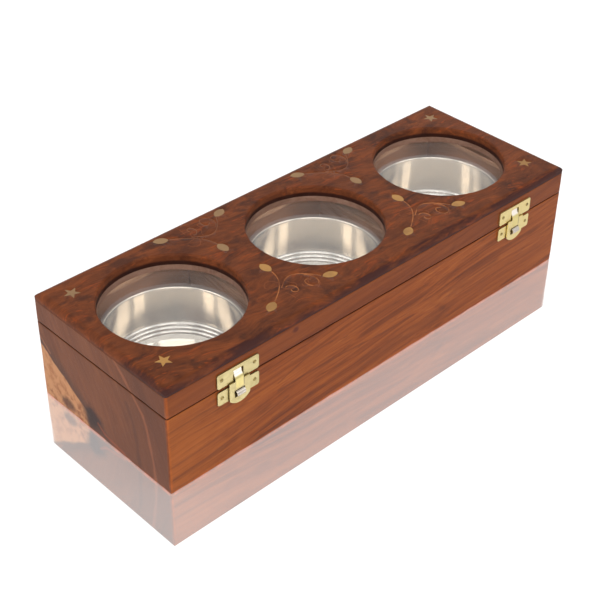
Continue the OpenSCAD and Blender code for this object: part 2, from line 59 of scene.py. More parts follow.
HALF_LENGTH, HALF_WIDTH, SEAM_Z, TOP_Z = 0.1525, 0.054, 0.0494, 0.0673
WHITE = (1.0, 1.0, 1.0, 1.0)
PORE_TINT = (0.35, 0.30, 0.30, 1.0)
SCRATCH_TINT = (0.55, 0.52, 0.45, 1.0)
NOISE_SHIFT = Vector((3.1, 7.7, 1.3))
WELD = 1e-6
Colour = tuple[float, float, float]
Point2 = tuple[float, float]
Point3 = tuple[float, float, float]
Value = Union[float, Sequence[float], NodeSocket]
Fills = Union[Sequence[Value], dict[str, Value]]


def srgb(red: float, green: float, blue: float) -> tuple[float, float, float, float]:
    """The linear colour, fully opaque, of a colour as a screen shows it.

    Args:
        red, green, blue: the channels, 0 to 255.

    Returns:
        The colour as Blender's sockets take it.
    """
    def linear(level: float) -> float:
        """One channel, from screen level to linear light."""
        level /= 255
        return level / 12.92 if level <= 0.04045 else ((level + 0.055) / 1.055) ** 2.4
    return linear(red), linear(green), linear(blue), 1.0


class Graph:
    """A node tree that is being wired, with one short call for each kind of node that it needs."""

    def __init__(self, tree: NodeTree) -> None:
        """Takes the tree as it is."""
        self.tree, self.nodes, self.links = tree, tree.nodes, tree.links

    def node(self, kind: str, **settings: object) -> Node:
        """Adds a node.

        Args:
            kind: the node's type name.
            settings: attributes of the node to set.

        Returns:
            The new node.
        """
        made = self.nodes.new(kind)
        for name, value in settings.items():
            setattr(made, name, value)
        return made

    def put(self, socket: NodeSocket, value: Value) -> None:
        """Links an output to an input, or writes a plain value on it.

        Args:
            socket: the input to fill.
            value: an output socket or a plain value.
        """
        if isinstance(value, NodeSocket):
            self.links.new(value, socket)
        else:
            socket.default_value = value

    def filled(self, kind: str, fills: Fills, **settings: object) -> Node:
        """Adds a node and fills its inputs.

        Args:
            kind: the node's type name.
            fills: values for its inputs, in their order or by name.
            settings: attributes of the node to set.

        Returns:
            The new node.
        """
        made = self.node(kind, **settings)
        for key, value in (fills.items() if isinstance(fills, dict) else enumerate(fills)):
            self.put(made.inputs[key], value)
        return made

    def made(self, kind: str, fills: Fills = (), **settings: object) -> NodeSocket:
        """Adds a node as filled does, and gives its first output."""
        return self.filled(kind, fills, **settings).outputs[0]

    def math(self, operation: str, *values: Value, clamp: bool = False) -> NodeSocket:
        """A number worked out from up to three others by a Math node."""
        return self.made("ShaderNodeMath", values, operation=operation, use_clamp=clamp)

    def times(self, *values: Value) -> NodeSocket:
        """The product of several numbers."""
        return reduce(lambda a, b: self.math("MULTIPLY", a, b), values)

    def plus(self, base: Value, value: Value, share: Value = 1.0) -> NodeSocket:
        """A number plus a share of another."""
        return self.math("MULTIPLY_ADD", value, share, base)

    def less(self, a: Value, b: Value) -> NodeSocket:
        """The first number less the second."""
        return self.math("SUBTRACT", a, b)

    def apart(self, a: Value, b: Value) -> NodeSocket:
        """How far two numbers lie apart."""
        return self.math("ABSOLUTE", self.less(a, b))

    def vector(self, operation: str, a: Value, b: Value = (0.0, 0.0, 0.0)) -> NodeSocket:
        """A vector, length or dot product worked out by a Vector Math node.

        Args:
            operation: the node's operation.
            a, b: its operands.

        Returns:
            The result's socket.
        """
        made = self.node("ShaderNodeVectorMath", operation=operation)
        self.put(made.inputs[0], a)
        if operation != "LENGTH":
            self.put(made.inputs["Scale" if operation == "SCALE" else 1], b)
        return made.outputs["Value" if operation in ("LENGTH", "DOT_PRODUCT") else "Vector"]

    def axes(self, vector: Value) -> list[NodeSocket]:
        """The three numbers of a vector."""
        return list(self.filled("ShaderNodeSeparateXYZ", (vector,)).outputs)

    def joined(self, x: Value, y: Value, z: Value) -> NodeSocket:
        """A vector from three numbers."""
        return self.made("ShaderNodeCombineXYZ", (x, y, z))

    def step(self, value: Value, low: float, high: float, start: float = 0.0, end: float = 1.0) -> NodeSocket:
        """A soft step from start, at low and below, to end, at high and above."""
        fills = (value, low, high, start, end)
        return self.made("ShaderNodeMapRange", fills, interpolation_type="SMOOTHSTEP", clamp=True)

    def seen(self) -> NodeSocket:
        """1 for what the eye sees, straight, mirrored or through glass, and 0 for plain light."""
        path = self.node("ShaderNodeLightPath").outputs
        return self.math("MAXIMUM", path["Is Camera Ray"],
                         self.math("MAXIMUM", path["Is Glossy Ray"], path["Is Transmission Ray"]))


class MaterialGraph(Graph):
    """The node tree of a material with one Principled shader."""

    def __init__(self, name: str) -> None:
        """Makes the material, with its shader and output, and reads Object coordinates in millimetres.

        Args:
            name: the material's name.
        """
        self.material = bpy.data.materials.new(name)
        self.material.use_nodes = True
        super().__init__(self.material.node_tree)
        self.nodes.clear()
        self.output = self.node("ShaderNodeOutputMaterial")
        self.shader = self.node("ShaderNodeBsdfPrincipled")
        self.shows(self.shader.outputs[0])
        self.place = self.vector("SCALE", self.node("ShaderNodeTexCoord").outputs["Object"], 1 / MM)

    def shows(self, shader: NodeSocket) -> None:
        """Sends a shader to the output."""
        self.links.new(shader, self.output.inputs[0])

    def set(self, **values: Value) -> None:
        """Fills sockets of the shader, named with underscores for their spaces."""
        for name, value in values.items():
            self.put(self.shader.inputs[name.replace("_", " ")], value)

    def mix(self, share: Value, a: Value, b: Value, blend: str = "MIX") -> NodeSocket:
        """One colour laid over another.

        Args:
            share: how much of b shows, 0 to 1.
            a, b: the linear colours.
            blend: the Mix node's blend type.

        Returns:
            The colour's socket.
        """
        made = self.node("ShaderNodeMix", data_type="RGBA", blend_type=blend, clamp_factor=True)
        for index, value in ((0, share), (6, a), (7, b)):
            self.put(made.inputs[index], value)
        return made.outputs[2]

    def lay(self, under: Value, share: Value, colour: Colour) -> NodeSocket:
        """A screen colour laid over a linear one."""
        return self.mix(share, under, srgb(*colour))

    def ramp(self, value: Value, *stops: tuple[float, Colour]) -> NodeSocket:
        """A colour looked up along a row of stops.

        Args:
            value: the place in the row.
            stops: each stop's place and screen colour.

        Returns:
            The colour's socket.
        """
        made = self.filled("ShaderNodeValToRGB", (value,))
        row = made.color_ramp.elements
        while len(row) < len(stops):
            row.new(0.5)
        for element, (place, colour) in zip(row, stops):
            element.position, element.color = place, srgb(*colour)
        return made.outputs[0]

    def cloud(self, vector: Value, scale: float = 1.0, detail: float = 2.0, rough: float = 0.5, twist: float = 0.0,
              out: str = "Fac") -> NodeSocket:
        """A noise texture.

        Args:
            vector: where it is read.
            scale: its frequency.
            detail, rough: how many finer layers it has and how strong they are.
            twist: its distortion.
            out: the output's name.

        Returns:
            The output's socket.
        """
        fills = {"Vector": vector, "Scale": scale, "Detail": detail, "Roughness": rough, "Distortion": twist}
        return self.filled("ShaderNodeTexNoise", fills, noise_dimensions="3D").outputs[out]

    def stretched(self, vector: Value, size_mm: Point2, detail: float = 2.0, rough: float = 0.5,
                  out: str = "Fac") -> NodeSocket:
        """Noise drawn out along X, as grain is.

        Args:
            vector: where it is read, in millimetres, with X along the grain.
            size_mm: the size of its shapes along and across the grain.
            detail, rough, out: as for cloud.

        Returns:
            The output's socket.
        """
        length, width = size_mm
        scaled = self.vector("MULTIPLY", vector, (1 / length, 1 / width, 1 / width))
        return self.cloud(scaled, 1.0, detail, rough, out=out)

    def bump(self, height: Value, strength: float, depth: float) -> NodeSocket:
        """A normal bumped by a relief of 0 to 1 with a real depth."""
        return self.made("ShaderNodeBump", {"Strength": strength, "Distance": depth, "Height": height})

    def nearest(self, flat: Value, paths: Iterable[Sequence[Point2]]) -> NodeSocket:
        """How far a place lies from the nearest of some lines, each drawn from point to point.

        Args:
            flat: the place, in millimetres, with Z at zero.
            paths: the lines' points.

        Returns:
            The distance in millimetres.
        """
        gaps = []
        for path in paths:
            for start, end in zip(path, path[1:]):
                reach = Vector((end[0] - start[0], end[1] - start[1], 0.0))
                away = self.vector("SUBTRACT", flat, (*start, 0.0))
                share = self.vector("DOT_PRODUCT", away, tuple(reach))
                share = self.math("DIVIDE", share, reach.length_squared, clamp=True)
                foot = self.vector("SCALE", tuple(reach), share)
                gaps.append(self.vector("LENGTH", self.vector("SUBTRACT", away, foot)))
        return reduce(lambda a, b: self.math("MINIMUM", a, b), gaps)


class Grain(Enum):
    """Which way a board's grain runs, as a direction on the box."""

    ALONG = (1.0, 0.02, 0.07)
    TOP = (1.0, -0.12, 0.0)
    ACROSS = (0.03, 1.0, 0.02)
    STEEP = (0.0, -0.42, -0.91)


@dataclass(frozen=True)
class Knot:
    """A dark spot in a board's face."""

    centre_mm: Point2
    size_mm: Point2
    colour: Colour
    strength: float

    def lay(self, graph: MaterialGraph, flat: Value, wobble: Value, colour: Value) -> NodeSocket:
        """Lays the knot over a colour.

        Args:
            graph: the material's tree.
            flat: the place in the board's face, in millimetres.
            wobble: noise about zero.
            colour: the colour so far.

        Returns:
            The colour with the knot.
        """
        away = graph.vector("SUBTRACT", flat, (*self.centre_mm, 0.0))
        away = graph.vector("MULTIPLY", away, (1 / self.size_mm[0], 1 / self.size_mm[1], 0.0))
        away = graph.plus(graph.vector("LENGTH", away), wobble, 1.6)
        return graph.lay(colour, graph.step(away, 0.45, 1.25, self.strength, 0.0), self.colour)


@dataclass(frozen=True)
class Vein:
    """A line of other colour in a board's face, drawn from point to point."""

    path_mm: tuple[Point2, ...]
    width_mm: float
    colour: Colour
    strength: float

    def lay(self, graph: MaterialGraph, flat: Value, wobble: Value, colour: Value) -> NodeSocket:
        """Lays the vein over a colour.

        Args:
            graph, flat, wobble, colour: as for Knot.lay.

        Returns:
            The colour with the vein.
        """
        near = graph.plus(graph.nearest(flat, [self.path_mm]), wobble, self.width_mm * 1.2)
        return graph.lay(colour, graph.step(near, self.width_mm * 0.15, self.width_mm, self.strength, 0.0), self.colour)


@dataclass(frozen=True)
class Sapwood:
    """The pale lower corner of the left end, specked, with a grey rim round it."""

    golden: Colour = (206, 146, 100)
    dull: Colour = (182, 118, 76)
    speck: Colour = (126, 70, 42)
    rim: Colour = (84, 56, 44)
    front: Colour = (92, 52, 36)
    slope: Point2 = (0.543, 0.84)
    edge_mm: Point2 = (29.6, 31.0)
    rim_mm: Point2 = (32.0, 39.0)
    side_mm: Point2 = (37.0, 41.0)
    low_mm: Point2 = (1.0, 13.0)
    front_mm: Point2 = (62.0, 84.0)

    def lay(self, graph: MaterialGraph, flat: Value, wobble: Value, colour: Value) -> NodeSocket:
        """Lays the sapwood over a colour.

        Args:
            graph, flat, wobble, colour: as for Knot.lay.

        Returns:
            The colour with the sapwood.
        """
        back, height, _ = graph.axes(flat)
        # The end is also darker towards its front edge.
        colour = graph.lay(colour, graph.step(graph.plus(back, wobble, 30.0), *self.front_mm, 0.0, 0.35), self.front)
        edge = graph.plus(graph.times(height, self.slope[1]), back, self.slope[0])
        edge = graph.plus(edge, wobble, 3.5)
        pale = graph.times(graph.step(edge, *self.edge_mm, 1.0, 0.0),
                           graph.step(graph.plus(back, wobble, 8.0), *self.side_mm, 1.0, 0.0))
        colour = graph.lay(colour, graph.times(graph.step(edge, *self.rim_mm, 1.0, 0.0), 0.7), self.rim)
        specks = graph.cloud(graph.vector("MULTIPLY", flat, (0.17, 0.15, 0.0)), 1.0, 5.0, 0.62, 0.4)
        wood = graph.lay(srgb(*self.golden), graph.step(specks, 0.42, 0.66), self.dull)
        colour = graph.mix(graph.times(pale, 0.95), colour, wood)
        low = graph.step(graph.plus(height, back, -0.22), *self.low_mm, 1.0, 0.1)
        return graph.lay(colour, graph.times(graph.step(specks, 0.42, 0.74), low, pale, 0.8), self.speck)


@dataclass(frozen=True)
class PaleEnd:
    """The front's paler left end, strongest below the seam, and its darker rail above the seam."""

    colour: Colour = (200, 118, 60)
    rail: Colour = (112, 56, 30)
    strength: float = 0.22
    rail_strength: float = 0.6
    reach_mm: Point2 = (-150.0, -88.0)
    seam_mm: Point2 = (49.2, 49.6)

    def lay(self, graph: MaterialGraph, flat: Value, wobble: Value, colour: Value) -> NodeSocket:
        """Lays the pale end and the rail's shade over a colour.

        Args:
            graph, flat, wobble, colour: as for Knot.lay.

        Returns:
            The colour with both.
        """
        x, z, _ = graph.axes(flat)
        pale = graph.step(graph.plus(x, wobble, 60.0), *self.reach_mm, self.strength, 0.0)
        colour = graph.lay(colour, graph.times(pale, graph.step(z, *self.seam_mm, 1.0, 0.4)), self.colour)
        return graph.lay(colour, graph.step(z, *self.seam_mm, 0.0, self.rail_strength), self.rail)


@dataclass(frozen=True)
class PaintedEdgeShade:
    """Painted shade on the top board's rounded front edge and left front corner, and a painted shadow low in its
    windows' bores.
    """

    # Colours of the painted shade on the rounded front edge and left front corner, and of the painted shadow in the
    # bores.
    front: Colour = (70, 41, 38)
    corner: Colour = (74, 44, 40)
    bore_shadow: Colour = (44, 22, 18)
    ragged_mm: float = 9.0
    front_mm: Point2 = (-52.6, -50.2)
    left_mm: Point2 = (-151.2, -149.0)
    fade_mm: Point2 = (-34.0, -8.0)
    bore_shadow_mm: Point2 = (62.6, 64.2)

    def lay(self, graph: MaterialGraph, flat: Value, wobble: Value, colour: Value) -> NodeSocket:
        """Lays the painted shade and the painted shadow over a colour.

        Args:
            graph, colour: as for Knot.lay. flat, wobble: not used; these edges wobble along the grain instead.

        Returns:
            The colour with the painted shade and shadow.
        """
        x, y, z = graph.axes(graph.place)
        ragged = graph.less(graph.stretched(graph.place, (30.0, 5.0), 4.0, 0.65), 0.5)
        # Painted shade on the rounded front edge.
        front = graph.step(graph.plus(y, ragged, self.ragged_mm), *self.front_mm, 1.0, 0.0)
        broken = graph.step(graph.stretched(graph.place, (30.0, 9.0), 3.0), 0.34, 0.52, 0.3, 0.95)
        colour = graph.lay(colour, graph.times(front, broken), self.front)
        # Painted shade on the left front corner, fading towards the back.
        corner = graph.step(graph.plus(x, ragged, self.ragged_mm), *self.left_mm, 0.75, 0.0)
        corner = graph.times(corner, graph.step(y, *self.fade_mm, 1.0, 0.15))
        colour = graph.lay(colour, corner, self.corner)
        # Painted shadow low in the windows' bores, just above the glass.
        return graph.lay(colour, graph.step(z, *self.bore_shadow_mm, 0.92, 0.0), self.bore_shadow)


@dataclass(frozen=True)
class Flourish:
    """Fine lines scratched round each vine, drawn in shares of the spray's reach and repeated for every spray."""

    paths: tuple[tuple[Point2, ...], ...]
    colour: Colour = (170, 96, 58)
    strength: float = 0.42
    width_mm: float = 0.42
    reach_mm: Point2 = (21.0, 27.6)
    pitch_mm: float = 102.7
    first_x_mm: float = 53.35
    last_x_mm: float = 84.0
    front_y_mm: float = -38.6
    middle_y_mm: float = 4.0
    back_y_mm: float = 46.4
    face_mm: Point2 = (66.9, 67.2)

    def lay(self, graph: MaterialGraph, colour: Value) -> NodeSocket:
        """Draws the flourish round each of the four vines.

        Args:
            graph: the material's tree.
            colour: the colour so far.

        Returns:
            The colour with its scratched lines.
        """
        x, y, z = graph.axes(graph.place)
        back = graph.math("GREATER_THAN", y, self.middle_y_mm)
        across = graph.math("ADD", x, graph.plus(-self.first_x_mm, back, 2 * self.first_x_mm))
        across = graph.math("WRAP", across, self.pitch_mm / 2, -self.pitch_mm / 2)
        from_front, from_back = graph.less(y, self.front_y_mm), graph.less(self.back_y_mm, y)
        along = graph.plus(from_front, back, graph.less(from_back, from_front))
        paths = [[(u * self.reach_mm[0], v * self.reach_mm[1]) for u, v in path] for path in self.paths]
        near = graph.nearest(graph.joined(across, along, 0.0), paths)
        shown = graph.times(
            graph.step(near, self.width_mm * 0.3, self.width_mm, self.strength, 0.0),
            graph.step(graph.cloud(graph.place, 0.25), 0.35, 0.55, 0.35, 1.0),
            graph.math("LESS_THAN", graph.math("ABSOLUTE", x), self.last_x_mm),
            graph.step(z, *self.face_mm))
        return graph.lay(colour, shown, self.colour)


Mark = Union[Knot, Vein, Sapwood, PaleEnd, PaintedEdgeShade]


@dataclass(frozen=True)
class WoodFinish:
    """Waxed hardwood: wandering figure, streaks, fibres and pores, lighter where its edges are rubbed and with a
    painted highlight along them, and with painted shade in the seam.
    """

    name: str
    grain: Grain
    dark: Colour
    body: Colour
    light: Colour
    vein: Colour
    shade: Colour
    contrast: float = 1.0
    figure_mm: Point2 = (150.0, 11.0)
    streak_mm: Point2 = (55.0, 2.4)
    line_mm: Point2 = (38.0, 0.9)
    fibre_mm: Point2 = (11.0, 0.42)
    fleck_share: float = 0.0
    wander_mm: float = 9.0
    drift_mm: Point2 = (85.0, 38.0)
    ridge_mm: Point2 = (110.0, 8.0)
    vein_share: float = 0.35
    patch_mm: Point2 = (75.0, 21.0)
    shade_from: float = 0.56
    shade_to: float = 0.70
    shade_share: float = 0.7
    fibre_share: float = 0.10
    pore_share: float = 0.35
    pore_mm: Point2 = (4.5, 0.34)
    gloss: float = 0.40
    gloss_swing: float = 0.14
    # The colour of the rubbed edges, which also serves as their painted highlight.
    worn: Colour = (214, 114, 62)
    wear_and_highlight_share: float = 0.8
    corner_mm: Point2 = (0.7, 1.9)
    foot_mm: Point2 = (0.5, 1.5)
    # Painted shade in the gap between lid and base: its colour and width.
    seam: Colour = (52, 26, 18)
    seam_mm: Point2 = (0.28, 0.55)
    inside: Optional[Colour] = None
    inside_mm: Point2 = (7.0, 7.9)
    flourish: Optional[Flourish] = None
    marks: tuple[Mark, ...] = ()
    seed_mm: float = 0.0
    tone_shares: Point3 = (0.42, 0.38, 0.20)
    tone_gain: float = 3.8
    tone_stops: Point3 = (0.12, 0.46, 0.86)
    ridge_level: float = 0.47
    ridge_reach: float = 0.045
    ridge_gap_mm: Point2 = (40.0, 6.0)
    fleck_mm: Point2 = (14.0, 1.9)
    fleck_group_mm: Point2 = (24.0, 15.0)
    pore_deep: float = 0.00022

    def along(self, graph: MaterialGraph) -> NodeSocket:
        """Turns the object's own coordinates so that X runs along the grain.

        Args:
            graph: the material's tree.

        Returns:
            The turned coordinates, in millimetres.
        """
        turn = Vector(self.grain.value).rotation_difference(Vector((1.0, 0.0, 0.0))).to_euler()
        shift = (self.seed_mm * 3.1, self.seed_mm, self.seed_mm * 1.7)
        fills = {"Vector": graph.place, "Rotation": tuple(turn), "Location": shift}
        return graph.made("ShaderNodeMapping", fills, vector_type="POINT")

    def build(self) -> Material:
        """Makes the material.

        Returns:
            The finished material.
        """
        graph = MaterialGraph(self.name)
        straight = self.along(graph)
        drift = graph.stretched(straight, self.drift_mm, 2.0, 0.55, out="Color")
        drift = graph.vector("SUBTRACT", drift, (0.5, 0.5, 0.5))
        drift = graph.vector("MULTIPLY", drift, (0.0, 2 * self.wander_mm, 2 * self.wander_mm))
        grain = graph.vector("ADD", straight, drift)
        figure = graph.stretched(grain, self.figure_mm, 4.0, 0.6)
        streaks = graph.stretched(grain, self.streak_mm, 4.0, 0.65)
        lines = graph.stretched(grain, self.line_mm, 2.0, 0.6)
        fibres = graph.stretched(grain, self.fibre_mm, 2.0, 0.6)
        wide, middle, narrow = self.tone_shares
        tone = graph.plus(graph.plus(graph.times(figure, wide), streaks, middle), lines, narrow)
        tone = graph.plus(tone, graph.less(fibres, 0.5), self.fibre_share)
        tone = graph.math("MULTIPLY_ADD", graph.less(tone, 0.5), self.tone_gain * self.contrast, 0.5, clamp=True)
        colour = graph.ramp(tone, *zip(self.tone_stops, (self.dark, self.body, self.light)))
        ridge = graph.apart(graph.stretched(grain, self.ridge_mm), self.ridge_level)
        broken = graph.step(graph.stretched(grain, self.ridge_gap_mm), 0.45, 0.62)
        ridge = graph.times(graph.step(ridge, 0.0, self.ridge_reach, 1.0, 0.0), broken, self.vein_share)
        colour = graph.lay(colour, ridge, self.vein)
        patches = graph.stretched(grain, self.patch_mm, 4.0, 0.62)
        patches = graph.step(patches, self.shade_from, self.shade_to, 0.0, self.shade_share)
        colour = graph.lay(colour, patches, self.shade)
        if self.fleck_share > 0:
            flecks = graph.step(graph.stretched(grain, self.fleck_mm, 3.0, 0.6), 0.57, 0.66)
            grouped = graph.step(graph.stretched(straight, self.fleck_group_mm), 0.42, 0.58)
            colour = graph.lay(colour, graph.times(flecks, grouped, self.fleck_share), self.vein)
        pores = graph.step(graph.stretched(straight, self.pore_mm, 1.0), 0.62, 0.72)
        pores = graph.times(pores, graph.step(streaks, 0.4, 0.6, 0.4, 1.0))
        colour = graph.mix(graph.times(pores, self.pore_share), colour, PORE_TINT, "MULTIPLY")
        colour = self.rubbed(graph, self.marked(graph, colour))
        graph.set(Base_Color=colour, Roughness=graph.plus(self.gloss - self.gloss_swing / 2, streaks, self.gloss_swing),
                  Specular_IOR_Level=0.08, Coat_Weight=0.01, Coat_Roughness=0.3,
                  Normal=graph.bump(graph.plus(graph.times(fibres, 0.35), pores, -0.7), 0.30, self.pore_deep))
        return graph.material

    def marked(self, graph: MaterialGraph, colour: Value) -> Value:
        """Lays the board's own marks over its grain, and its flourish over those.

        Args:
            graph: the material's tree.
            colour: the grain's colour.

        Returns:
            The colour with the marks.
        """
        if self.marks:
            x, y, z = graph.axes(graph.place)
            flat = graph.joined(graph.less(HALF_WIDTH / MM, y) if self.grain is Grain.STEEP else x, z, 0.0)
            wobble = graph.less(graph.cloud(graph.vector("SCALE", flat, 0.11), 1.0, 3.0, 0.6), 0.5)
            for mark in self.marks:
                colour = mark.lay(graph, flat, wobble, colour)
        return self.flourish.lay(graph, colour) if self.flourish else colour

    def rubbed(self, graph: MaterialGraph, colour: Value) -> Value:
        """Lightens the corners and the lower edge, where hands and shelves have rubbed them and as a painted highlight
        along them, and paints shade into the seam.

        Args:
            graph: the material's tree.
            colour: the colour so far.

        Returns:
            The colour with its rubbed, painted-highlight edges and its painted seam shade.
        """
        if self.wear_and_highlight_share == 0:
            return colour
        x, y, z = graph.axes(graph.place)
        from_end = graph.less(HALF_LENGTH / MM, graph.math("ABSOLUTE", x))
        from_side = graph.less(HALF_WIDTH / MM, graph.math("ABSOLUTE", y))
        # The corners and lower edge get the worn colour: rubbed wood, and also a painted highlight along these edges.
        corner = graph.step(graph.math("ADD", from_end, from_side), *self.corner_mm, 0.45, 0.0)
        edge = graph.math("MAXIMUM", corner, graph.step(z, *self.foot_mm, 1.0, 0.0))
        # Painted shade along the seam between lid and base.
        colour = graph.lay(colour, graph.step(graph.apart(z, SEAM_Z / MM), *self.seam_mm, 0.75, 0.0), self.seam)
        if self.inside:
            deep = graph.step(graph.math("MINIMUM", from_end, from_side), *self.inside_mm)
            colour = graph.mix(deep, colour, graph.mix(0.35, srgb(*self.inside), colour))
        patchy = graph.step(graph.cloud(graph.place, 0.16, 3.0, 0.6), 0.36, 0.60, 0.35, 1.0)
        return graph.lay(colour, graph.times(edge, patchy, self.wear_and_highlight_share), self.worn)


@dataclass(frozen=True)
class Strap:
    """The pressed strap down a hasp's middle, all painted light: a painted highlight where it bends, its face below
    painted brighter yellow where it catches the light, and a painted shadow along its right side.
    """

    x_mm: float = 107.5
    half_mm: float = 2.6
    low_mm: float = 45.8
    soft_mm: float = 0.3
    # Where the strap bends it gets a painted highlight: its heights, colour and strength.
    highlight_mm: Point2 = (52.6, 60.0)
    bend: Colour = (240, 232, 226)
    highlight_share: float = 0.9
    # The strap's face below the bend is painted brighter than the plate, where it catches the light.
    body: Colour = (206, 190, 122)
    lit_face_share: float = 0.6
    # A painted shadow along the strap's right side.
    fold_shadow: Colour = (112, 100, 78)
    fold_shadow_share: float = 0.6
    fold_shadow_mm: Point2 = (0.15, 0.5)

    def lay(self, graph: MaterialGraph, colour: Value) -> NodeSocket:
        """Lays the strap's painted highlight, painted lit face and painted shadow over the brass of both hasps.

        Args:
            graph: the material's tree.
            colour: the colour so far.

        Returns:
            The colour with the strap's painted light and shade.
        """
        x, _, z = graph.axes(graph.place)
        across = graph.math("ADD", x, graph.times(graph.math("LESS_THAN", x, 0.0), 2 * self.x_mm))
        across = graph.less(across, self.x_mm)
        middle = graph.step(graph.math("ABSOLUTE", across), self.half_mm - self.soft_mm, self.half_mm, 1.0, 0.0)
        above = graph.step(z, self.low_mm, self.low_mm + 0.6)
        # Painted light: the strap's face is laid brighter than the plate.
        colour = graph.lay(colour, graph.times(middle, above, self.lit_face_share), self.body)
        # Painted shadow just right of the strap.
        side = graph.step(graph.apart(across, self.half_mm + self.soft_mm), *self.fold_shadow_mm, self.fold_shadow_share, 0.0)
        colour = graph.lay(colour, graph.times(side, above), self.fold_shadow)
        # Painted highlight where the strap bends.
        low, high = self.highlight_mm
        bright = graph.times(middle, graph.step(z, low, low + 1.2),
                             graph.step(z, high, high + self.soft_mm, 1.0, 0.0), self.highlight_share)
        return graph.lay(colour, bright, self.bend)


@dataclass(frozen=True)
class BrassFinish:
    """Brass with thin tarnish, fine scratches and a satin to dull face."""

    name: str
    bright: Colour
    dull: Colour
    rough: float
    tarnish_mm: float = 7.0
    tarnish_share: float = 0.5
    back_dull: Optional[Colour] = None
    back_share: float = 0.75
    back_mm: Point2 = (0.0, 24.0)
    # The right-hand clasp is painted a lighter brass: a painted highlight for the brighter light it reflects.
    right: Colour = (222, 202, 142)
    right_highlight_share: float = 0.0
    right_mm: Point2 = (-5.0, 5.0)
    strap: Optional[Strap] = None
    scratch_scales: Point3 = (0.25, 3.0, 3.4)
    scratch_share: float = 0.28
    rough_swing: float = 0.22
    relief_deep: float = 0.0001

    def build(self) -> Material:
        """Makes the material.

        Returns:
            The finished material.
        """
        graph = MaterialGraph(self.name)
        x, y, _ = graph.axes(graph.place)
        clouds = graph.cloud(graph.place, 1 / self.tarnish_mm, 4.0, 0.6)
        scratches = graph.cloud(graph.vector("MULTIPLY", graph.place, self.scratch_scales), 1.0, 3.0, 0.7)
        grains = graph.cloud(graph.place, 1.7, 2.0, 0.6)
        colour = graph.lay(srgb(*self.bright), graph.step(clouds, 0.42, 0.66, 0.0, self.tarnish_share), self.dull)
        if self.back_dull is not None:
            back = graph.step(graph.plus(y, clouds, 10.0), *self.back_mm, 0.0, self.back_share)
            colour = graph.lay(colour, back, self.back_dull)
        lines = graph.step(scratches, 0.55, 0.72, 0.0, self.scratch_share)
        colour = graph.mix(lines, colour, SCRATCH_TINT, "MULTIPLY")
        # Painted highlight over the right-hand clasp.
        if self.right_highlight_share > 0:
            colour = graph.lay(colour, graph.step(x, *self.right_mm, 0.0, self.right_highlight_share), self.right)
        # The strap's painted highlight, painted lit face and painted shadow.
        if self.strap is not None:
            colour = self.strap.lay(graph, colour)
        relief = graph.plus(graph.times(grains, 0.5), scratches, 0.6)
        rough = graph.plus(self.rough - self.rough_swing / 2, clouds, self.rough_swing)
        graph.set(Base_Color=colour, Metallic=1.0, Roughness=rough, Normal=graph.bump(relief, 0.18, self.relief_deep))
        return graph.material


@dataclass(frozen=True)
class SteelFinish:
    """Spun stainless steel: brushed round the bowl's middle, smoother at the bottom, and with a painted warm reflection
    up the wall.
    """

    name: str
    centre: Point2
    colour: Colour = (248, 245, 240)
    # The painted warm reflection up the wall: its tint and heights.
    warm_reflection: Colour = (253, 244, 232)
    warm_reflection_mm: Point2 = (22.0, 27.0)
    bottom_mm: Point2 = (18.0, 24.5)
    wall_rough: float = 0.11
    bottom_rough: float = 0.02
    brushed: float = 0.75

    def build(self) -> Material:
        """Makes the material.

        Returns:
            The finished material.
        """
        graph = MaterialGraph(self.name)
        shift = graph.vector("SUBTRACT", graph.place, (self.centre[0] / MM, self.centre[1] / MM, 0.0))
        x, y, z = graph.axes(shift)
        radius = graph.vector("LENGTH", graph.joined(x, y, 0.0))
        spun = graph.cloud(graph.joined(graph.times(radius, 1.3), graph.times(z, 1.3), 0.0), 1.0, 3.0, 0.65)
        haze = graph.cloud(shift, 0.07, 4.0, 0.6)
        specks = graph.cloud(shift, 0.9)
        tone = graph.plus(graph.times(spun, 0.25), haze, 0.35)
        colour = graph.ramp(tone, (0.15, tuple(0.90 * level for level in self.colour)), (0.42, self.colour))
        # Painted reflection: the wall is tinted warm above the steps, as if it reflected the wood.
        colour = graph.mix(graph.step(z, *self.warm_reflection_mm, 0.0, 0.85), colour, srgb(*self.warm_reflection), "MULTIPLY")
        rough = graph.plus(graph.step(z, *self.bottom_mm, self.bottom_rough, self.wall_rough), haze, 0.08)
        relief = graph.plus(graph.times(specks, 0.25), spun, 0.5)
        graph.set(Base_Color=colour, Metallic=1.0, Roughness=rough, Normal=graph.bump(relief, 0.035, 0.0001),
                  Anisotropic=self.brushed, Anisotropic_Rotation=0.25,
                  Tangent=graph.made("ShaderNodeTangent", direction_type="RADIAL", axis="Z"))
        return graph.material


@dataclass(frozen=True)
class GlassFinish:
    """Clear flat glass with the faint smears of wiping; light for shadows passes straight through it."""

    name: str
    tint: Colour = (252, 250, 247)
    clear: float = 0.95
    rough: float = 0.02
    smeared: float = 0.07

    def build(self) -> Material:
        """Makes the material.

        Returns:
            The finished material.
        """
        graph = MaterialGraph(self.name)
        smears = graph.cloud(graph.vector("MULTIPLY", graph.place, (0.02, 0.09, 0.05)), 1.0, 4.0, 0.6)
        graph.set(Base_Color=srgb(*self.tint), Transmission_Weight=self.clear, IOR=1.5,
                  Roughness=graph.step(smears, 0.45, 0.75, self.rough, self.rough + self.smeared))
        clear = graph.made("ShaderNodeBsdfTransparent", (srgb(*self.tint),))
        shadow = graph.node("ShaderNodeLightPath").outputs["Is Shadow Ray"]
        graph.shows(graph.made("ShaderNodeMixShader", (shadow, graph.shader.outputs[0], clear)))
        return graph.material


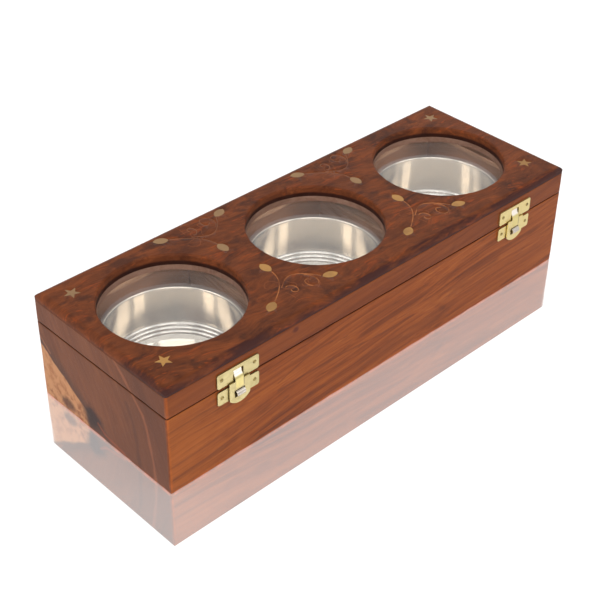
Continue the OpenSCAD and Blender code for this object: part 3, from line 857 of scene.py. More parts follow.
@dataclass(frozen=True)
class FloorFinish:
    """A white floor that keeps the shadow. To the eye it is polished only as far as the photograph's mirrored copy."""

    name: str
    colour: Colour = (244, 244, 244)
    lift: float = 1.1
    shine: float = 0.80
    rough: float = 0.08
    sheet_mm: Point2 = (-172.9, -81.6)
    edge_mm: float = 0.3

    def build(self) -> Material:
        """Makes the material.

        Returns:
            The finished material.
        """
        graph = MaterialGraph(self.name)
        graph.nodes.remove(graph.shader)
        seen = graph.seen()
        glow = graph.made("ShaderNodeEmission", {"Strength": graph.times(seen, self.lift)})
        lit = graph.made("ShaderNodeAddShader", (graph.made("ShaderNodeBsdfDiffuse", (srgb(*self.colour),)), glow))
        mirror = graph.made("ShaderNodeBsdfAnisotropic", {"Color": WHITE, "Roughness": self.rough})
        sheet = graph.times(*(graph.step(value, edge - self.edge_mm, edge + self.edge_mm)
                              for value, edge in zip(graph.axes(graph.place), self.sheet_mm)))
        eye = graph.node("ShaderNodeLightPath").outputs["Is Camera Ray"]
        polished = graph.math("MAXIMUM", sheet, graph.less(1.0, eye))
        plain = graph.made("ShaderNodeEmission", {"Strength": seen})
        sheen = graph.made("ShaderNodeMixShader", (polished, plain, mirror))
        graph.shows(graph.made("ShaderNodeMixShader", (self.shine, lit, sheen)))
        return graph.material


class Slot(Enum):
    """The record's material slots, but for the glass, which keeps its solid."""

    BOX = "box_wood"
    TOP = "lid_top_wood"
    INNER = "inner_wood"
    CLASP = "clasp_brass"
    HINGE = "hinge_brass"
    NAIL = "nail_brass"
    INLAY = "inlay_brass"
    VINE = "vine_brass"
    STEEL = "bowl_steel"


class Palette:
    """Every finish of the box but the bowls' steel, built once."""

    def __init__(self) -> None:
        """Builds the materials."""
        self.box_woods()
        self.top_wood()
        self.inner_woods()
        self.brasses()
        self.glass = GlassFinish("window_glass").build()

    def box_woods(self) -> None:
        """The walls and rails, with the photograph's marks on the front and the left end."""
        end_marks = (
            Sapwood(),
            Knot((22.0, 5.4), (6.5, 4.2), (78, 44, 34), 0.75),
            Knot((44.5, 9.5), (9.0, 8.0), (50, 32, 32), 0.85),
            Vein(((67.7, 63.0), (75.4, 55.8), (81.1, 49.1), (88.7, 40.1), (91.2, 32.9), (94.8, 13.8), (96.0, 0.0)),
                 1.8, (162, 96, 64), 0.5),
            Vein(((75.6, 40.0), (80.1, 29.2), (82.1, 17.0), (82.7, 3.0)), 2.4, (84, 50, 38), 0.5),
            Vein(((1.6, 40.0), (5.3, 36.7), (9.5, 32.9)), 1.2, (160, 100, 70), 0.6),
            Vein(((48.5, 8.5), (53.8, 4.5), (60.6, 3.4), (70.0, 2.0)), 1.5, (164, 80, 48), 0.5),
        )
        line = (100, 50, 30)
        front_marks = (
            PaleEnd(),
            Knot((-67.6, 59.7), (2.4, 1.8), (92, 44, 32), 0.85),
            Vein(((-79.8, 31.4), (-72.6, 33.6), (-60.6, 37.1), (-48.3, 38.3), (-40.8, 38.3)), 0.9, line, 0.5),
            Vein(((-150.6, 9.0), (-126.3, 10.7), (-103.4, 13.8), (-89.3, 15.7), (-72.5, 18.6)), 0.9, line, 0.5),
            Vein(((-151.4, 31.1), (-136.4, 31.8), (-120.0, 30.7), (-100.8, 30.6)), 0.8, line, 0.4),
            Vein(((-79.8, 26.3), (-55.5, 26.2), (-30.1, 25.0), (-3.6, 22.5), (24.0, 22.3)), 1.0, line, 0.5),
        )
        end = dict(
            grain=Grain.STEEP, dark=(94, 52, 33), body=(118, 67, 42), light=(136, 82, 52), vein=(160, 92, 56),
            shade=(88, 54, 38), contrast=0.5, figure_mm=(90.0, 15.0), streak_mm=(50.0, 3.5), vein_share=0.12,
            wander_mm=7.0, shade_share=0.35, fibre_share=0.03, pore_share=0.12, gloss=0.36, inside=(196, 152, 122))
        long = dict(
            grain=Grain.ALONG, dark=(102, 48, 24), body=(147, 75, 33), light=(174, 96, 45), vein=(88, 42, 22),
            shade=(112, 57, 31), contrast=0.75, figure_mm=(320.0, 9.0), streak_mm=(200.0, 2.6), line_mm=(160.0, 1.0),
            drift_mm=(170.0, 60.0), ridge_mm=(230.0, 8.0), vein_share=0.5, patch_mm=(110.0, 16.0), shade_from=0.55,
            shade_share=0.45, fibre_share=0.12, pore_share=0.6, pore_mm=(8.0, 0.45), gloss=0.38, inside=(196, 152, 122))
        self.front = WoodFinish("front_wood", marks=front_marks, **long).build()
        self.back = WoodFinish("back_wood", seed_mm=61.0, **long).build()
        self.left_end = WoodFinish("left_end_wood", marks=end_marks, **end).build()
        self.right_end = WoodFinish("right_end_wood", seed_mm=23.0, **end).build()

    def top_wood(self) -> None:
        """The lid's top board."""
        flourish = Flourish((
            ((-0.29, 0.39), (-0.44, 0.41), (-0.57, 0.44), (-0.61, 0.5), (-0.56, 0.57), (-0.46, 0.63), (-0.36, 0.63),
             (-0.26, 0.56), (-0.21, 0.48)),
            ((-0.24, 0.37), (-0.27, 0.28), (-0.22, 0.2), (-0.11, 0.15), (0.01, 0.15), (0.09, 0.19), (0.1, 0.26),
             (0.02, 0.33), (-0.01, 0.41)),
            ((0.4, 0.13), (0.34, 0.06), (0.22, 0.02), (0.17, 0.07), (0.2, 0.14)),
            ((0.62, 0.19), (0.65, 0.11), (0.64, 0.02), (0.56, -0.07), (0.42, -0.14)),
            ((-0.35, 0.17), (-0.32, 0.04), (-0.31, -0.16)),
        ))
        self.top = WoodFinish(
            "top_wood", grain=Grain.TOP, dark=(82, 43, 27), body=(121, 65, 38), light=(156, 84, 46), vein=(182, 86, 40),
            shade=(72, 43, 33), contrast=0.62, figure_mm=(26.0, 13.0), streak_mm=(17.0, 4.2), line_mm=(36.0, 1.3),
            wander_mm=13.0, drift_mm=(46.0, 30.0), fleck_share=0.6, patch_mm=(19.0, 13.0), shade_from=0.51,
            shade_to=0.66, fibre_share=0.05, pore_share=0.3, gloss=0.42, wear_and_highlight_share=0.0, marks=(PaintedEdgeShade(),),
            flourish=flourish).build()

    def inner_woods(self) -> None:
        """The paler woods inside the box."""
        plain = dict(wear_and_highlight_share=0.0, gloss=0.5)
        self.lining = WoodFinish(
            "lining_wood", grain=Grain.ALONG, dark=(128, 94, 78), body=(150, 114, 96), light=(166, 130, 112),
            vein=(130, 92, 74), shade=(120, 88, 74), contrast=0.6, **plain).build()
        inner = dict(dark=(160, 116, 88), body=(190, 146, 116), light=(208, 166, 136), vein=(150, 106, 80),
                     shade=(150, 110, 86), contrast=0.8, seed_mm=37.0, **plain)
        self.inner_long = WoodFinish("inner_wood_long", grain=Grain.ALONG, **inner).build()
        self.inner_cross = WoodFinish("inner_wood_cross", grain=Grain.ACROSS, **inner).build()

    def brasses(self) -> None:
        """The clasps', hinges', nails' and inlay's brass."""
        plate = dict(bright=(176, 162, 118), dull=(158, 144, 98), right_highlight_share=0.75)
        self.clasp = BrassFinish("clasp_brass", rough=0.40, **plate).build()
        self.hasp = BrassFinish("hasp_brass", rough=0.38, strap=Strap(), **plate).build()
        self.catch = BrassFinish("catch_brass", (196, 188, 178), (166, 156, 142), 0.34).build()
        self.hinge = BrassFinish("hinge_brass", (206, 184, 118), (170, 146, 88), 0.36).build()
        # The nails' brass is darker than the plates': painted shade standing for the shade on their small domed heads.
        self.nail = BrassFinish("nail_brass", (152, 134, 84), (98, 82, 52), 0.40, 1.2, 0.8).build()
        self.inlay = BrassFinish("inlay_brass", (186, 139, 81), (156, 116, 72), 0.42, 14.0, 0.8, (146, 118, 90)).build()
        self.vine = BrassFinish("vine_brass", (188, 116, 66), (126, 72, 44), 0.5, 7.0, 0.95, (128, 80, 56)).build()


def linked(name: str, data: ID) -> Object:
    """Puts a mesh, a lamp or a camera in the scene as an object at the origin.

    Args:
        name: the object's name.
        data: what it shows.

    Returns:
        The new object.
    """
    made = bpy.data.objects.new(name, data)
    bpy.context.scene.collection.objects.link(made)
    return made


def settled(piece: Object) -> Object:
    """Turns a piece with live modifiers into one with a plain mesh.

    Args:
        piece: the object to settle.

    Returns:
        The same object, its modifiers gone and their result kept.
    """
    bpy.context.view_layer.update()
    graph = bpy.context.evaluated_depsgraph_get()
    mesh = bpy.data.meshes.new_from_object(piece.evaluated_get(graph), preserve_all_data_layers=True, depsgraph=graph)
    piece.modifiers.clear()
    old, piece.data = piece.data, mesh
    mesh.name = piece.name
    bpy.data.meshes.remove(old)
    return piece


def dressed(piece: Object, finish: Material) -> Object:
    """Gives a piece one material and no other.

    Args:
        piece: the object.
        finish: its material.

    Returns:
        The same object.
    """
    piece.data.materials.clear()
    piece.data.materials.append(finish)
    return piece


def hand_over(piece: Object, body: str, node: str) -> None:
    """Puts a finished piece on its body and hides the solid that it stands for.

    Args:
        piece: the object.
        body: the body that it moves with.
        node: the solid that it replaces.
    """
    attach(piece, body)
    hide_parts(node)
    LOG.info("%s: %d faces, rides on %s", piece.name, len(piece.data.polygons), body)


@dataclass(frozen=True)
class Wear:
    """How a board or plate has lost its sharp factory shape: eased edges, or a fine net of faces with dents."""

    ease: float = 0.0
    ease_angle: float = 25.0
    cell: float = 0.0
    dent: float = 0.0
    wave: float = 0.00005
    smooth_angle: float = 32.0
    corner_reach: float = 0.0045
    face_reach: float = 0.003
    foot_reach: float = 0.004
    seam_reach: float = 0.0025
    seam_share: float = 0.6
    side_reach: float = 0.006
    wave_reach: float = 0.002
    patch_scales: Point2 = (130.0, 420.0)
    wave_scale: float = 28.0

    def moved(self, point: Vector) -> Vector:
        """Where a point of a worn board lies.

        Args:
            point: the point on the new board.

        Returns:
            The point after wear: outer edges are rubbed inwards by patches, and flats are never quite flat.
        """
        from_end, from_side = HALF_LENGTH - abs(point.x), HALF_WIDTH - abs(point.y)
        nearest = min(from_end, from_side)
        corner = max(0.0, 1 - (max(from_end, 0) + max(from_side, 0)) / self.corner_reach)
        face = max(0.0, 1 - nearest / self.face_reach)
        foot = max(0.0, 1 - point.z / self.foot_reach) * face
        seam = max(0.0, 1 - abs(point.z - SEAM_Z) / self.seam_reach) * face * self.seam_share
        coarse, fine = self.patch_scales
        rough = noise.noise(point * coarse + NOISE_SHIFT) * 0.6 + noise.noise(point * fine) * 0.4
        amount = self.dent * min(1.0, max(0.0, rough * 1.9 + 0.12)) * max(corner, foot, seam)
        inward = Vector((-math.copysign(1, point.x) * (from_end < self.side_reach),
                         -math.copysign(1, point.y) * (from_side < self.side_reach), 0))
        if inward.length > 0:
            inward.normalize()
        ripple = self.wave * noise.noise(point * self.wave_scale) * max(0.0, 1 - nearest / self.wave_reach)
        return point + inward * (amount + max(0.0, ripple))


def worn_copy(node: str, name: str, wear: Wear, finish: Material) -> Object:
    """Makes a piece from a solid's own shape, with eased edges and worn faces.

    Args:
        node: the solid.
        name: the new piece's name.
        wear: what is done to the shape.
        finish: its material.

    Returns:
        The new object.
    """
    shape = bmesh.new()
    shape.from_mesh(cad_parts[node].data)
    bmesh.ops.remove_doubles(shape, verts=shape.verts, dist=2 * WELD)
    bmesh.ops.dissolve_limit(shape, angle_limit=math.radians(0.3), verts=shape.verts, edges=shape.edges, delimit=set())
    if wear.ease > 0:
        sharp = [edge for edge in shape.edges
                 if len(edge.link_faces) == 2 and edge.calc_face_angle(0) > math.radians(wear.ease_angle)]
        bmesh.ops.bevel(shape, geom=sharp, offset=wear.ease, segments=2, profile=0.5, affect="EDGES",
                        clamp_overlap=True)
    if wear.cell > 0:
        low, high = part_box(node)
        for axis in range(3):
            count = int((high[axis] - low[axis]) / wear.cell)
            for step in range(1, count):
                spot, normal = Vector((0, 0, 0)), Vector((0, 0, 0))
                spot[axis] = low[axis] + (high[axis] - low[axis]) * step / count
                normal[axis] = 1.0
                everything = shape.verts[:] + shape.edges[:] + shape.faces[:]
                bmesh.ops.bisect_plane(shape, geom=everything, plane_co=spot, plane_no=normal, dist=WELD)
        for vertex in shape.verts:
            vertex.co = wear.moved(vertex.co)
    bmesh.ops.triangulate(shape, faces=[face for face in shape.faces if len(face.verts) > 4])
    mesh = bpy.data.meshes.new(name)
    shape.to_mesh(mesh)
    shape.free()
    mesh.shade_smooth()
    mesh.set_sharp_from_angle(angle=math.radians(wear.smooth_angle))
    piece = linked(name, mesh)
    piece.modifiers.new("weighted", "WEIGHTED_NORMAL").keep_sharp = True
    return dressed(settled(piece), finish)


def remake(finishes: dict[str, Material], ending: str, wear: Wear, body: str) -> None:
    """Makes pieces again from their solids and hands them over.

    Args:
        finishes: each solid and its piece's material.
        ending: what the piece's name adds to its solid's.
        wear: what is done to the shapes.
        body: the body that they move with.
    """
    for node, finish in finishes.items():
        hand_over(worn_copy(node, node + ending, wear, finish), body, node)


@dataclass
class Carcass:
    """The base: four mitred walls, the floor and the two partitions."""

    palette: Palette
    board: Wear = Wear(cell=0.0055, dent=0.00032)
    inner: Wear = Wear(ease=0.00035)

    def build(self) -> None:
        """Makes the base's boards."""
        paint = self.palette
        walls = {"front_wall": paint.front, "back_wall": paint.back, "left_wall": paint.left_end,
                 "right_wall": paint.right_end}
        remake(walls, "_board", self.board, "base")
        insides = {"floor_board": paint.inner_long, "left_partition": paint.inner_cross,
                   "right_partition": paint.inner_cross}
        remake(insides, "_piece", self.inner, "base")


@dataclass
class Lid:
    """The lid: four rails, the bored top board, its lining, the battens and the glass."""

    palette: Palette
    board: Wear = Wear(cell=0.0055, dent=0.00032)
    top: Wear = Wear(cell=0.008, dent=0.00025)
    inner: Wear = Wear(ease=0.0003)

    def build(self) -> None:
        """Makes the lid's boards and dresses its glass."""
        paint = self.palette
        rails = {"lid_front_rail": paint.front, "lid_back_rail": paint.back, "lid_left_rail": paint.left_end,
                 "lid_right_rail": paint.right_end}
        remake(rails, "_board", self.board, "lid")
        hand_over(worn_copy("lid_top_board", "lid_top", self.top, paint.top), "lid", "lid_top_board")
        insides = {"lid_lining_board": paint.lining, "front_batten": paint.inner_long, "back_batten": paint.inner_long,
                   "left_batten": paint.inner_cross, "right_batten": paint.inner_cross}
        remake(insides, "_piece", self.inner, "lid")
        dressed(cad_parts["glass_pane"], paint.glass)
        LOG.info("glass_pane keeps its solid and gets its glass")


class GeometryTree(Graph):
    """A geometry node tree with named inputs, which grows one kind of piece from the points it is given."""

    def __init__(self, name: str) -> None:
        """Makes the tree with its geometry input, output and material input.

        Args:
            name: the tree's name.
        """
        super().__init__(bpy.data.node_groups.new(name, "GeometryNodeTree"))
        for way in ("INPUT", "OUTPUT"):
            self.tree.interface.new_socket("Geometry", in_out=way, socket_type="NodeSocketGeometry")
        self.entry = self.node("NodeGroupInput")
        self.exit = self.node("NodeGroupOutput")
        self.names: dict[str, str] = {}
        self.given = self.entry.outputs["Geometry"]
        self.finish = self.take("Finish", None, "NodeSocketMaterial")

    def take(self, name: str, value: Optional[float] = None, kind: str = "NodeSocketFloat") -> NodeSocket:
        """Adds a named input.

        Args:
            name: the input's name.
            value: its default, if it has one.
            kind: its socket type.

        Returns:
            The input's socket inside the tree.
        """
        item = self.tree.interface.new_socket(name, in_out="INPUT", socket_type=kind)
        if value is not None:
            item.default_value = value
        self.names[name] = item.identifier
        return self.entry.outputs[name]

    def pipe(self, kind: str, geometry: NodeSocket, fills: Optional[dict[str, Value]] = None,
             **settings: object) -> NodeSocket:
        """Sends geometry through one node.

        Args:
            kind: the node's type.
            geometry: what goes in at its first socket.
            fills: values for its other sockets, by name.
            settings: attributes of the node.

        Returns:
            Its first output.
        """
        made = self.filled(kind, fills or {}, **settings)
        self.links.new(geometry, made.inputs[0])
        return made.outputs[0]

    def together(self, *parts: NodeSocket) -> NodeSocket:
        """Joins several geometries.

        Args:
            parts: what is joined.

        Returns:
            All of it as one geometry.
        """
        made = self.node("GeometryNodeJoinGeometry")
        for part in reversed(parts):
            self.links.new(part, made.inputs[0])
        return made.outputs[0]

    def attribute(self, name: str, kind: str) -> NodeSocket:
        """Reads a named attribute of the points."""
        return self.filled("GeometryNodeInputNamedAttribute", {"Name": name}, data_type=kind).outputs["Attribute"]

    def position(self) -> list[NodeSocket]:
        """The three numbers of the position."""
        return self.axes(self.made("GeometryNodeInputPosition"))

    def close(self, geometry: NodeSocket) -> None:
        """Ends the tree: instances are realized and the finish is set."""
        real = self.pipe("GeometryNodeRealizeInstances", geometry)
        self.links.new(self.pipe("GeometryNodeSetMaterial", real, {"Material": self.finish}), self.exit.inputs[0])

    def grow(self, name: str, mesh: Mesh, finish: Material, **values: float) -> Object:
        """Runs the tree on a mesh.

        Args:
            name: the new piece's name.
            mesh: the points or lines to grow from.
            finish: the piece's material.
            values: the other named inputs.

        Returns:
            The piece as a plain mesh object.
        """
        piece = linked(name, mesh)
        growth = piece.modifiers.new("growth", "NODES")
        growth.node_group = self.tree
        for label, value in {"Finish": finish, **values}.items():
            growth[self.names[label]] = value
        return settled(piece)


def mesh_of(name: str, points: Iterable[Point3], lines: Iterable[tuple[int, int]] = (), **attributes: Sequence) -> Mesh:
    """A mesh of loose points or lines with attributes on its points.

    Args:
        name: the mesh's name.
        points: its points.
        lines: pairs of points that are joined.
        attributes: a row of numbers or vectors for each attribute.

    Returns:
        The mesh.
    """
    mesh = bpy.data.meshes.new(name)
    mesh.from_pydata(list(points), list(lines), [])
    for label, row in attributes.items():
        if isinstance(row[0], float):
            mesh.attributes.new(label, "FLOAT", "POINT").data.foreach_set("value", row)
        else:
            flat = [number for item in row for number in item]
            mesh.attributes.new(label, "FLOAT_VECTOR", "POINT").data.foreach_set("vector", flat)
    return mesh


def outward(piece: Object, weld: float = WELD) -> Object:
    """Merges a closed piece's doubles and points its faces outwards.

    Args:
        piece: the object.
        weld: how near two points are to be one.

    Returns:
        The same object.
    """
    shape = bmesh.new()
    shape.from_mesh(piece.data)
    bmesh.ops.remove_doubles(shape, verts=shape.verts, dist=weld)
    bmesh.ops.recalc_face_normals(shape, faces=shape.faces)
    shape.to_mesh(piece.data)
    shape.free()
    return piece


@dataclass
class Inlay:
    """Brass stars, leaves and vines let flush into the top board."""

    palette: Palette
    deep: float = 0.0008
    star_r: float = 0.0047
    star_waist: float = 0.0020
    leaf_length: float = 0.0088
    leaf_width: float = 0.0054
    wire_width: float = 0.0005
    wire_deep: float = 0.0006
    stars: tuple[Point3, ...] = (
        (-0.138, -0.0353, -8.0), (0.138, -0.0353, 20.0), (-0.138, 0.040, 14.0), (0.138, 0.040, -4.0))
    sprays: tuple[Point3, ...] = (
        (-0.04935, -0.0386, 1.0), (0.05335, -0.0386, 1.0), (-0.05335, 0.0464, -1.0), (0.04935, 0.0464, -1.0))
    reach_x: float = 0.021
    reach_y: float = 0.0276

    def star_tree(self) -> GeometryTree:
        """A five-pointed plate on each point, turned by its turn.

        Returns:
            The tree.
        """
        tree = GeometryTree("inlaid_stars")
        tips = tree.take("Tip radius", self.star_r)
        waist = tree.take("Waist radius", self.star_waist)
        deep = tree.take("Depth", self.deep)
        fills = {"Points": 5, "Inner Radius": waist, "Outer Radius": tips, "Twist": 0.0}
        plate = self.thick(tree, tree.made("GeometryNodeCurveStar", fills), deep)
        self.scatter(tree, tree.pipe("GeometryNodeTransform", plate, {"Rotation": (0.0, 0.0, math.pi / 2)}))
        return tree

    def leaf_tree(self) -> GeometryTree:
        """A leaf of two arcs on each point, turned by its turn.

        Returns:
            The tree.
        """
        tree = GeometryTree("inlaid_leaves")
        length = tree.take("Leaf length", self.leaf_length)
        width = tree.take("Leaf width", self.leaf_width)
        deep = tree.take("Depth", self.deep)
        ring = tree.made("GeometryNodeCurvePrimitiveCircle", {"Resolution": 28, "Radius": 1.0}, mode="RADIUS")
        x, y, _ = tree.position()
        bend = tree.math("ADD", tree.times(length, length), tree.times(width, width))
        bend = tree.math("DIVIDE", bend, tree.times(width, 4.0))
        along = tree.times(x, tree.times(length, 0.5))
        rise = tree.less(tree.times(bend, bend), tree.times(along, along))
        rise = tree.math("SQRT", tree.math("MAXIMUM", rise, 0.0))
        rise = tree.less(rise, tree.less(bend, tree.times(width, 0.5)))
        side = tree.times(tree.math("MAXIMUM", rise, 0.0), tree.math("SIGN", y))
        lens = tree.pipe("GeometryNodeSetPosition", ring, {"Position": tree.joined(along, side, 0.0)})
        self.scatter(tree, self.thick(tree, lens, deep))
        return tree

    def vine_tree(self) -> GeometryTree:
        """A flat wire along each line.

        Returns:
            The tree.
        """
        tree = GeometryTree("inlaid_vines")
        width = tree.take("Wire width", self.wire_width)
        deep = tree.take("Wire depth", self.wire_deep)
        path = tree.pipe("GeometryNodeMeshToCurve", tree.given)
        path = tree.pipe("GeometryNodeSetCurveNormal", path, mode="Z_UP")
        size = {"Width": width, "Height": deep}
        section = tree.made("GeometryNodeCurvePrimitiveQuadrilateral", size, mode="RECTANGLE")
        tree.close(tree.pipe("GeometryNodeCurveToMesh", path, {"Profile Curve": section, "Fill Caps": True}))
        return tree

    @staticmethod
    def thick(tree: GeometryTree, outline: NodeSocket, deep: NodeSocket) -> NodeSocket:
        """A closed plate from an outline.

        Args:
            tree: the tree to build in.
            outline: a closed flat curve.
            deep: the plate's thickness.

        Returns:
            The plate, its underside in the outline's plane.
        """
        sheet = tree.pipe("GeometryNodeFillCurve", outline, mode="NGONS")
        fills = {"Offset": (0.0, 0.0, 1.0), "Offset Scale": deep, "Individual": False}
        raised = tree.pipe("GeometryNodeExtrudeMesh", sheet, fills, mode="FACES")
        under = tree.pipe("GeometryNodeFlipFaces", sheet)
        return tree.pipe("GeometryNodeMergeByDistance", tree.together(raised, under), {"Distance": WELD})

    @staticmethod
    def scatter(tree: GeometryTree, plate: NodeSocket) -> None:
        """Sets a plate on every point of the input and ends the tree.

        Args:
            tree: the tree to build in.
            plate: what is set.
        """
        turned = tree.joined(0.0, 0.0, tree.attribute("turn", "FLOAT"))
        spots = tree.pipe("GeometryNodeMeshToPoints", tree.given)
        tree.close(tree.pipe("GeometryNodeInstanceOnPoints", spots, {"Instance": plate, "Rotation": turned}))

    @staticmethod
    def cubic(*ends: Point2, count: int = 26) -> list[Point2]:
        """Points along a cubic curve.

        Args:
            ends: the curve's four given points.
            count: how many steps it has.

        Returns:
            The points, in the same shares as the given ones.
        """
        row = []
        for t in (i / count for i in range(count + 1)):
            weights = ((1 - t) ** 3, 3 * t * (1 - t) ** 2, 3 * t * t * (1 - t), t ** 3)
            row.append(tuple(sum(a * end[axis] for a, end in zip(weights, ends)) for axis in (0, 1)))
        return row

    @staticmethod
    def curl(centre: Point2, radii: Point2, angles: Point2, count: int = 44) -> list[Point2]:
        """Points along a curl.

        Args:
            centre: its middle, in shares of the spray's reach.
            radii: its first and last radius, in shares of the reach.
            angles: its first and last angle in degrees.
            count: how many steps it has.

        Returns:
            The points, in shares of the reach.
        """
        row = []
        for share in (i / count for i in range(count + 1)):
            r = radii[0] + (radii[1] - radii[0]) * share
            a = math.radians(angles[0] + (angles[1] - angles[0]) * share)
            row.append((centre[0] + r * math.cos(a), centre[1] + r * math.sin(a)))
        return row

    def build(self) -> None:
        """Makes the stars, leaves and vines."""
        low, brass = TOP_Z - self.deep, self.palette.inlay
        spots = mesh_of("star_spots", [(x, y, low) for x, y, _ in self.stars],
                        turn=[math.radians(turn) for _, _, turn in self.stars])
        hand_over(outward(self.star_tree().grow("star_inlay", spots, brass)), "lid", "brass_stars")
        leaves, turns = [], []
        for x, y, side in self.sprays:
            for dx, dy, turn in ((-self.reach_x, 0.0, 28.0), (self.reach_x, 0.0, -20.0), (0.0, self.reach_y, 90.0)):
                leaves.append((x + dx, y + side * dy, low))
                turns.append(math.radians(side * turn))
        spots = mesh_of("leaf_spots", leaves, turn=turns)
        hand_over(outward(self.leaf_tree().grow("leaf_inlay", spots, brass)), "lid", "brass_leaves")
        middle = TOP_Z - self.wire_deep / 2
        points: list[Point3] = []
        lines: list[tuple[int, int]] = []
        rows = (self.cubic((0, .83), (-.05, .5), (-.29, .32), (-.79, .08)),
                self.cubic((-.3, .31), (-.05, .39), (.24, .79), (.8, .09)),
                self.curl((.43, .1), (.24, .07), (75, -330)), self.curl((-.12, .12), (.17, .05), (120, -210)))
        for x, y, side in self.sprays:
            for row in rows:
                first = len(points)
                points += [(x + u * self.reach_x, y + side * v * self.reach_y, middle) for u, v in row]
                lines += [(i, i + 1) for i in range(first, len(points) - 1)]
        vines = self.vine_tree().grow("vine_inlay", mesh_of("vine_paths", points, lines), self.palette.vine)
        hand_over(outward(vines, 1e-8), "lid", "brass_vines")


@dataclass
class Hardware:
    """The clasps and hinges: pressed plates with eased edges, and the pins and nails that hold them."""

    palette: Palette
    plate: Wear = Wear(ease=0.00014, ease_angle=40.0, smooth_angle=40.0)
    pin: Wear = Wear(ease=0.00010, ease_angle=50.0, smooth_angle=50.0)
    clasp_x: float = 0.1075
    clasp_nail_x: float = 0.0108
    clasp_nails_z: Point2 = (0.0442, 0.05553)
    hinge_x: float = 0.0905
    hinge_nail_x: float = 0.0091
    hinge_nails_z: Point2 = (0.0428, 0.0560)
    face_y: float = 0.0549
    shank_r: float = 0.0005
    shank_length: float = 0.005
    head_r: float = 0.0011
    head_h: float = 0.0004

    def nail_tree(self) -> GeometryTree:
        """A small nail with a domed head on each point, its head facing along the point's facing.

        Returns:
            The tree.
        """
        tree = GeometryTree("small_nails")
        radius = tree.take("Head radius", self.head_r)
        rise = tree.take("Head height", self.head_h)
        thin = tree.take("Shank radius", self.shank_r)
        long = tree.take("Shank length", self.shank_length)
        ball = tree.made("GeometryNodeMeshUVSphere", {"Segments": 20, "Rings": 10, "Radius": 1.0})
        below = tree.made("FunctionNodeCompare", (tree.position()[2], -0.001), data_type="FLOAT", operation="LESS_THAN")
        cut = tree.pipe("GeometryNodeDeleteGeometry", ball, {"Selection": below}, domain="POINT", mode="ALL")
        dome = tree.pipe("GeometryNodeTransform", cut, {"Scale": tree.joined(radius, radius, rise)})
        rim = tree.made("GeometryNodeMeshCircle", {"Vertices": 20, "Radius": radius}, fill_type="NGON")
        head = tree.pipe("GeometryNodeMergeByDistance", tree.together(dome, rim), {"Distance": 2 * WELD})
        fills = {"Vertices": 12, "Side Segments": 1, "Radius": thin, "Depth": long}
        shank = tree.made("GeometryNodeMeshCylinder", fills, fill_type="NGON")
        sunk = tree.joined(0.0, 0.0, tree.times(long, -0.5))
        shank = tree.pipe("GeometryNodeTransform", shank, {"Translation": sunk})
        facing = {"Vector": tree.attribute("facing", "FLOAT_VECTOR")}
        facing = tree.made("FunctionNodeAlignRotationToVector", facing, axis="Z")
        spots = tree.pipe("GeometryNodeMeshToPoints", tree.given)
        smooth = tree.pipe("GeometryNodeSetShadeSmooth", tree.together(head, shank), {"Shade Smooth": True})
        tree.close(tree.pipe("GeometryNodeInstanceOnPoints", spots, {"Instance": smooth, "Rotation": facing}))
        return tree

    def nails(self, tree: GeometryTree, node: str, body: str, level: int) -> None:
        """Drives one body's nails.

        Args:
            tree: the nail's tree.
            node: the solid that they stand for.
            body: its body.
            level: 0 for the base's row, 1 for the lid's.
        """
        points, facing = [], []
        for side in (-1, 1):
            for step in (-1, 1):
                points.append((side * self.clasp_x + step * self.clasp_nail_x, -self.face_y, self.clasp_nails_z[level]))
                points.append((side * self.hinge_x + step * self.hinge_nail_x, self.face_y, self.hinge_nails_z[level]))
                facing += [(0.0, -1.0, 0.0), (0.0, 1.0, 0.0)]
        piece = tree.grow(node + "_brass", mesh_of(node + "_spots", points, facing=facing), self.palette.nail)
        piece.data.set_sharp_from_angle(angle=math.radians(40))
        hand_over(piece, body, node)

    def build(self) -> None:
        """Makes the plates, hasps, catches, leaves, pins and nails."""
        paint = self.palette
        for side in ("left", "right"):
            for part, body, wear, slot, finish in (
                    ("clasp_base_plate", "base", self.plate, Slot.CLASP, paint.clasp),
                    ("catch", "base", self.plate, Slot.CLASP, paint.catch),
                    ("clasp_lid_plate", "lid", self.plate, Slot.CLASP, paint.clasp),
                    ("hasp", f"{side}_hasp", self.plate, Slot.CLASP, paint.hasp),
                    ("hinge_base_leaf", "base", self.plate, Slot.HINGE, paint.hinge),
                    ("hinge_lid_leaf", "lid", self.plate, Slot.HINGE, paint.hinge),
                    ("clasp_pin", "lid", self.pin, Slot.CLASP, paint.clasp),
                    ("hinge_pin", "base", self.pin, Slot.HINGE, paint.hinge)):
                remake({f"{side}_{part}": finish}, "_brass", wear, body)
        tree = self.nail_tree()
        self.nails(tree, "base_nails", "base", 0)
        self.nails(tree, "lid_nails", "lid", 1)


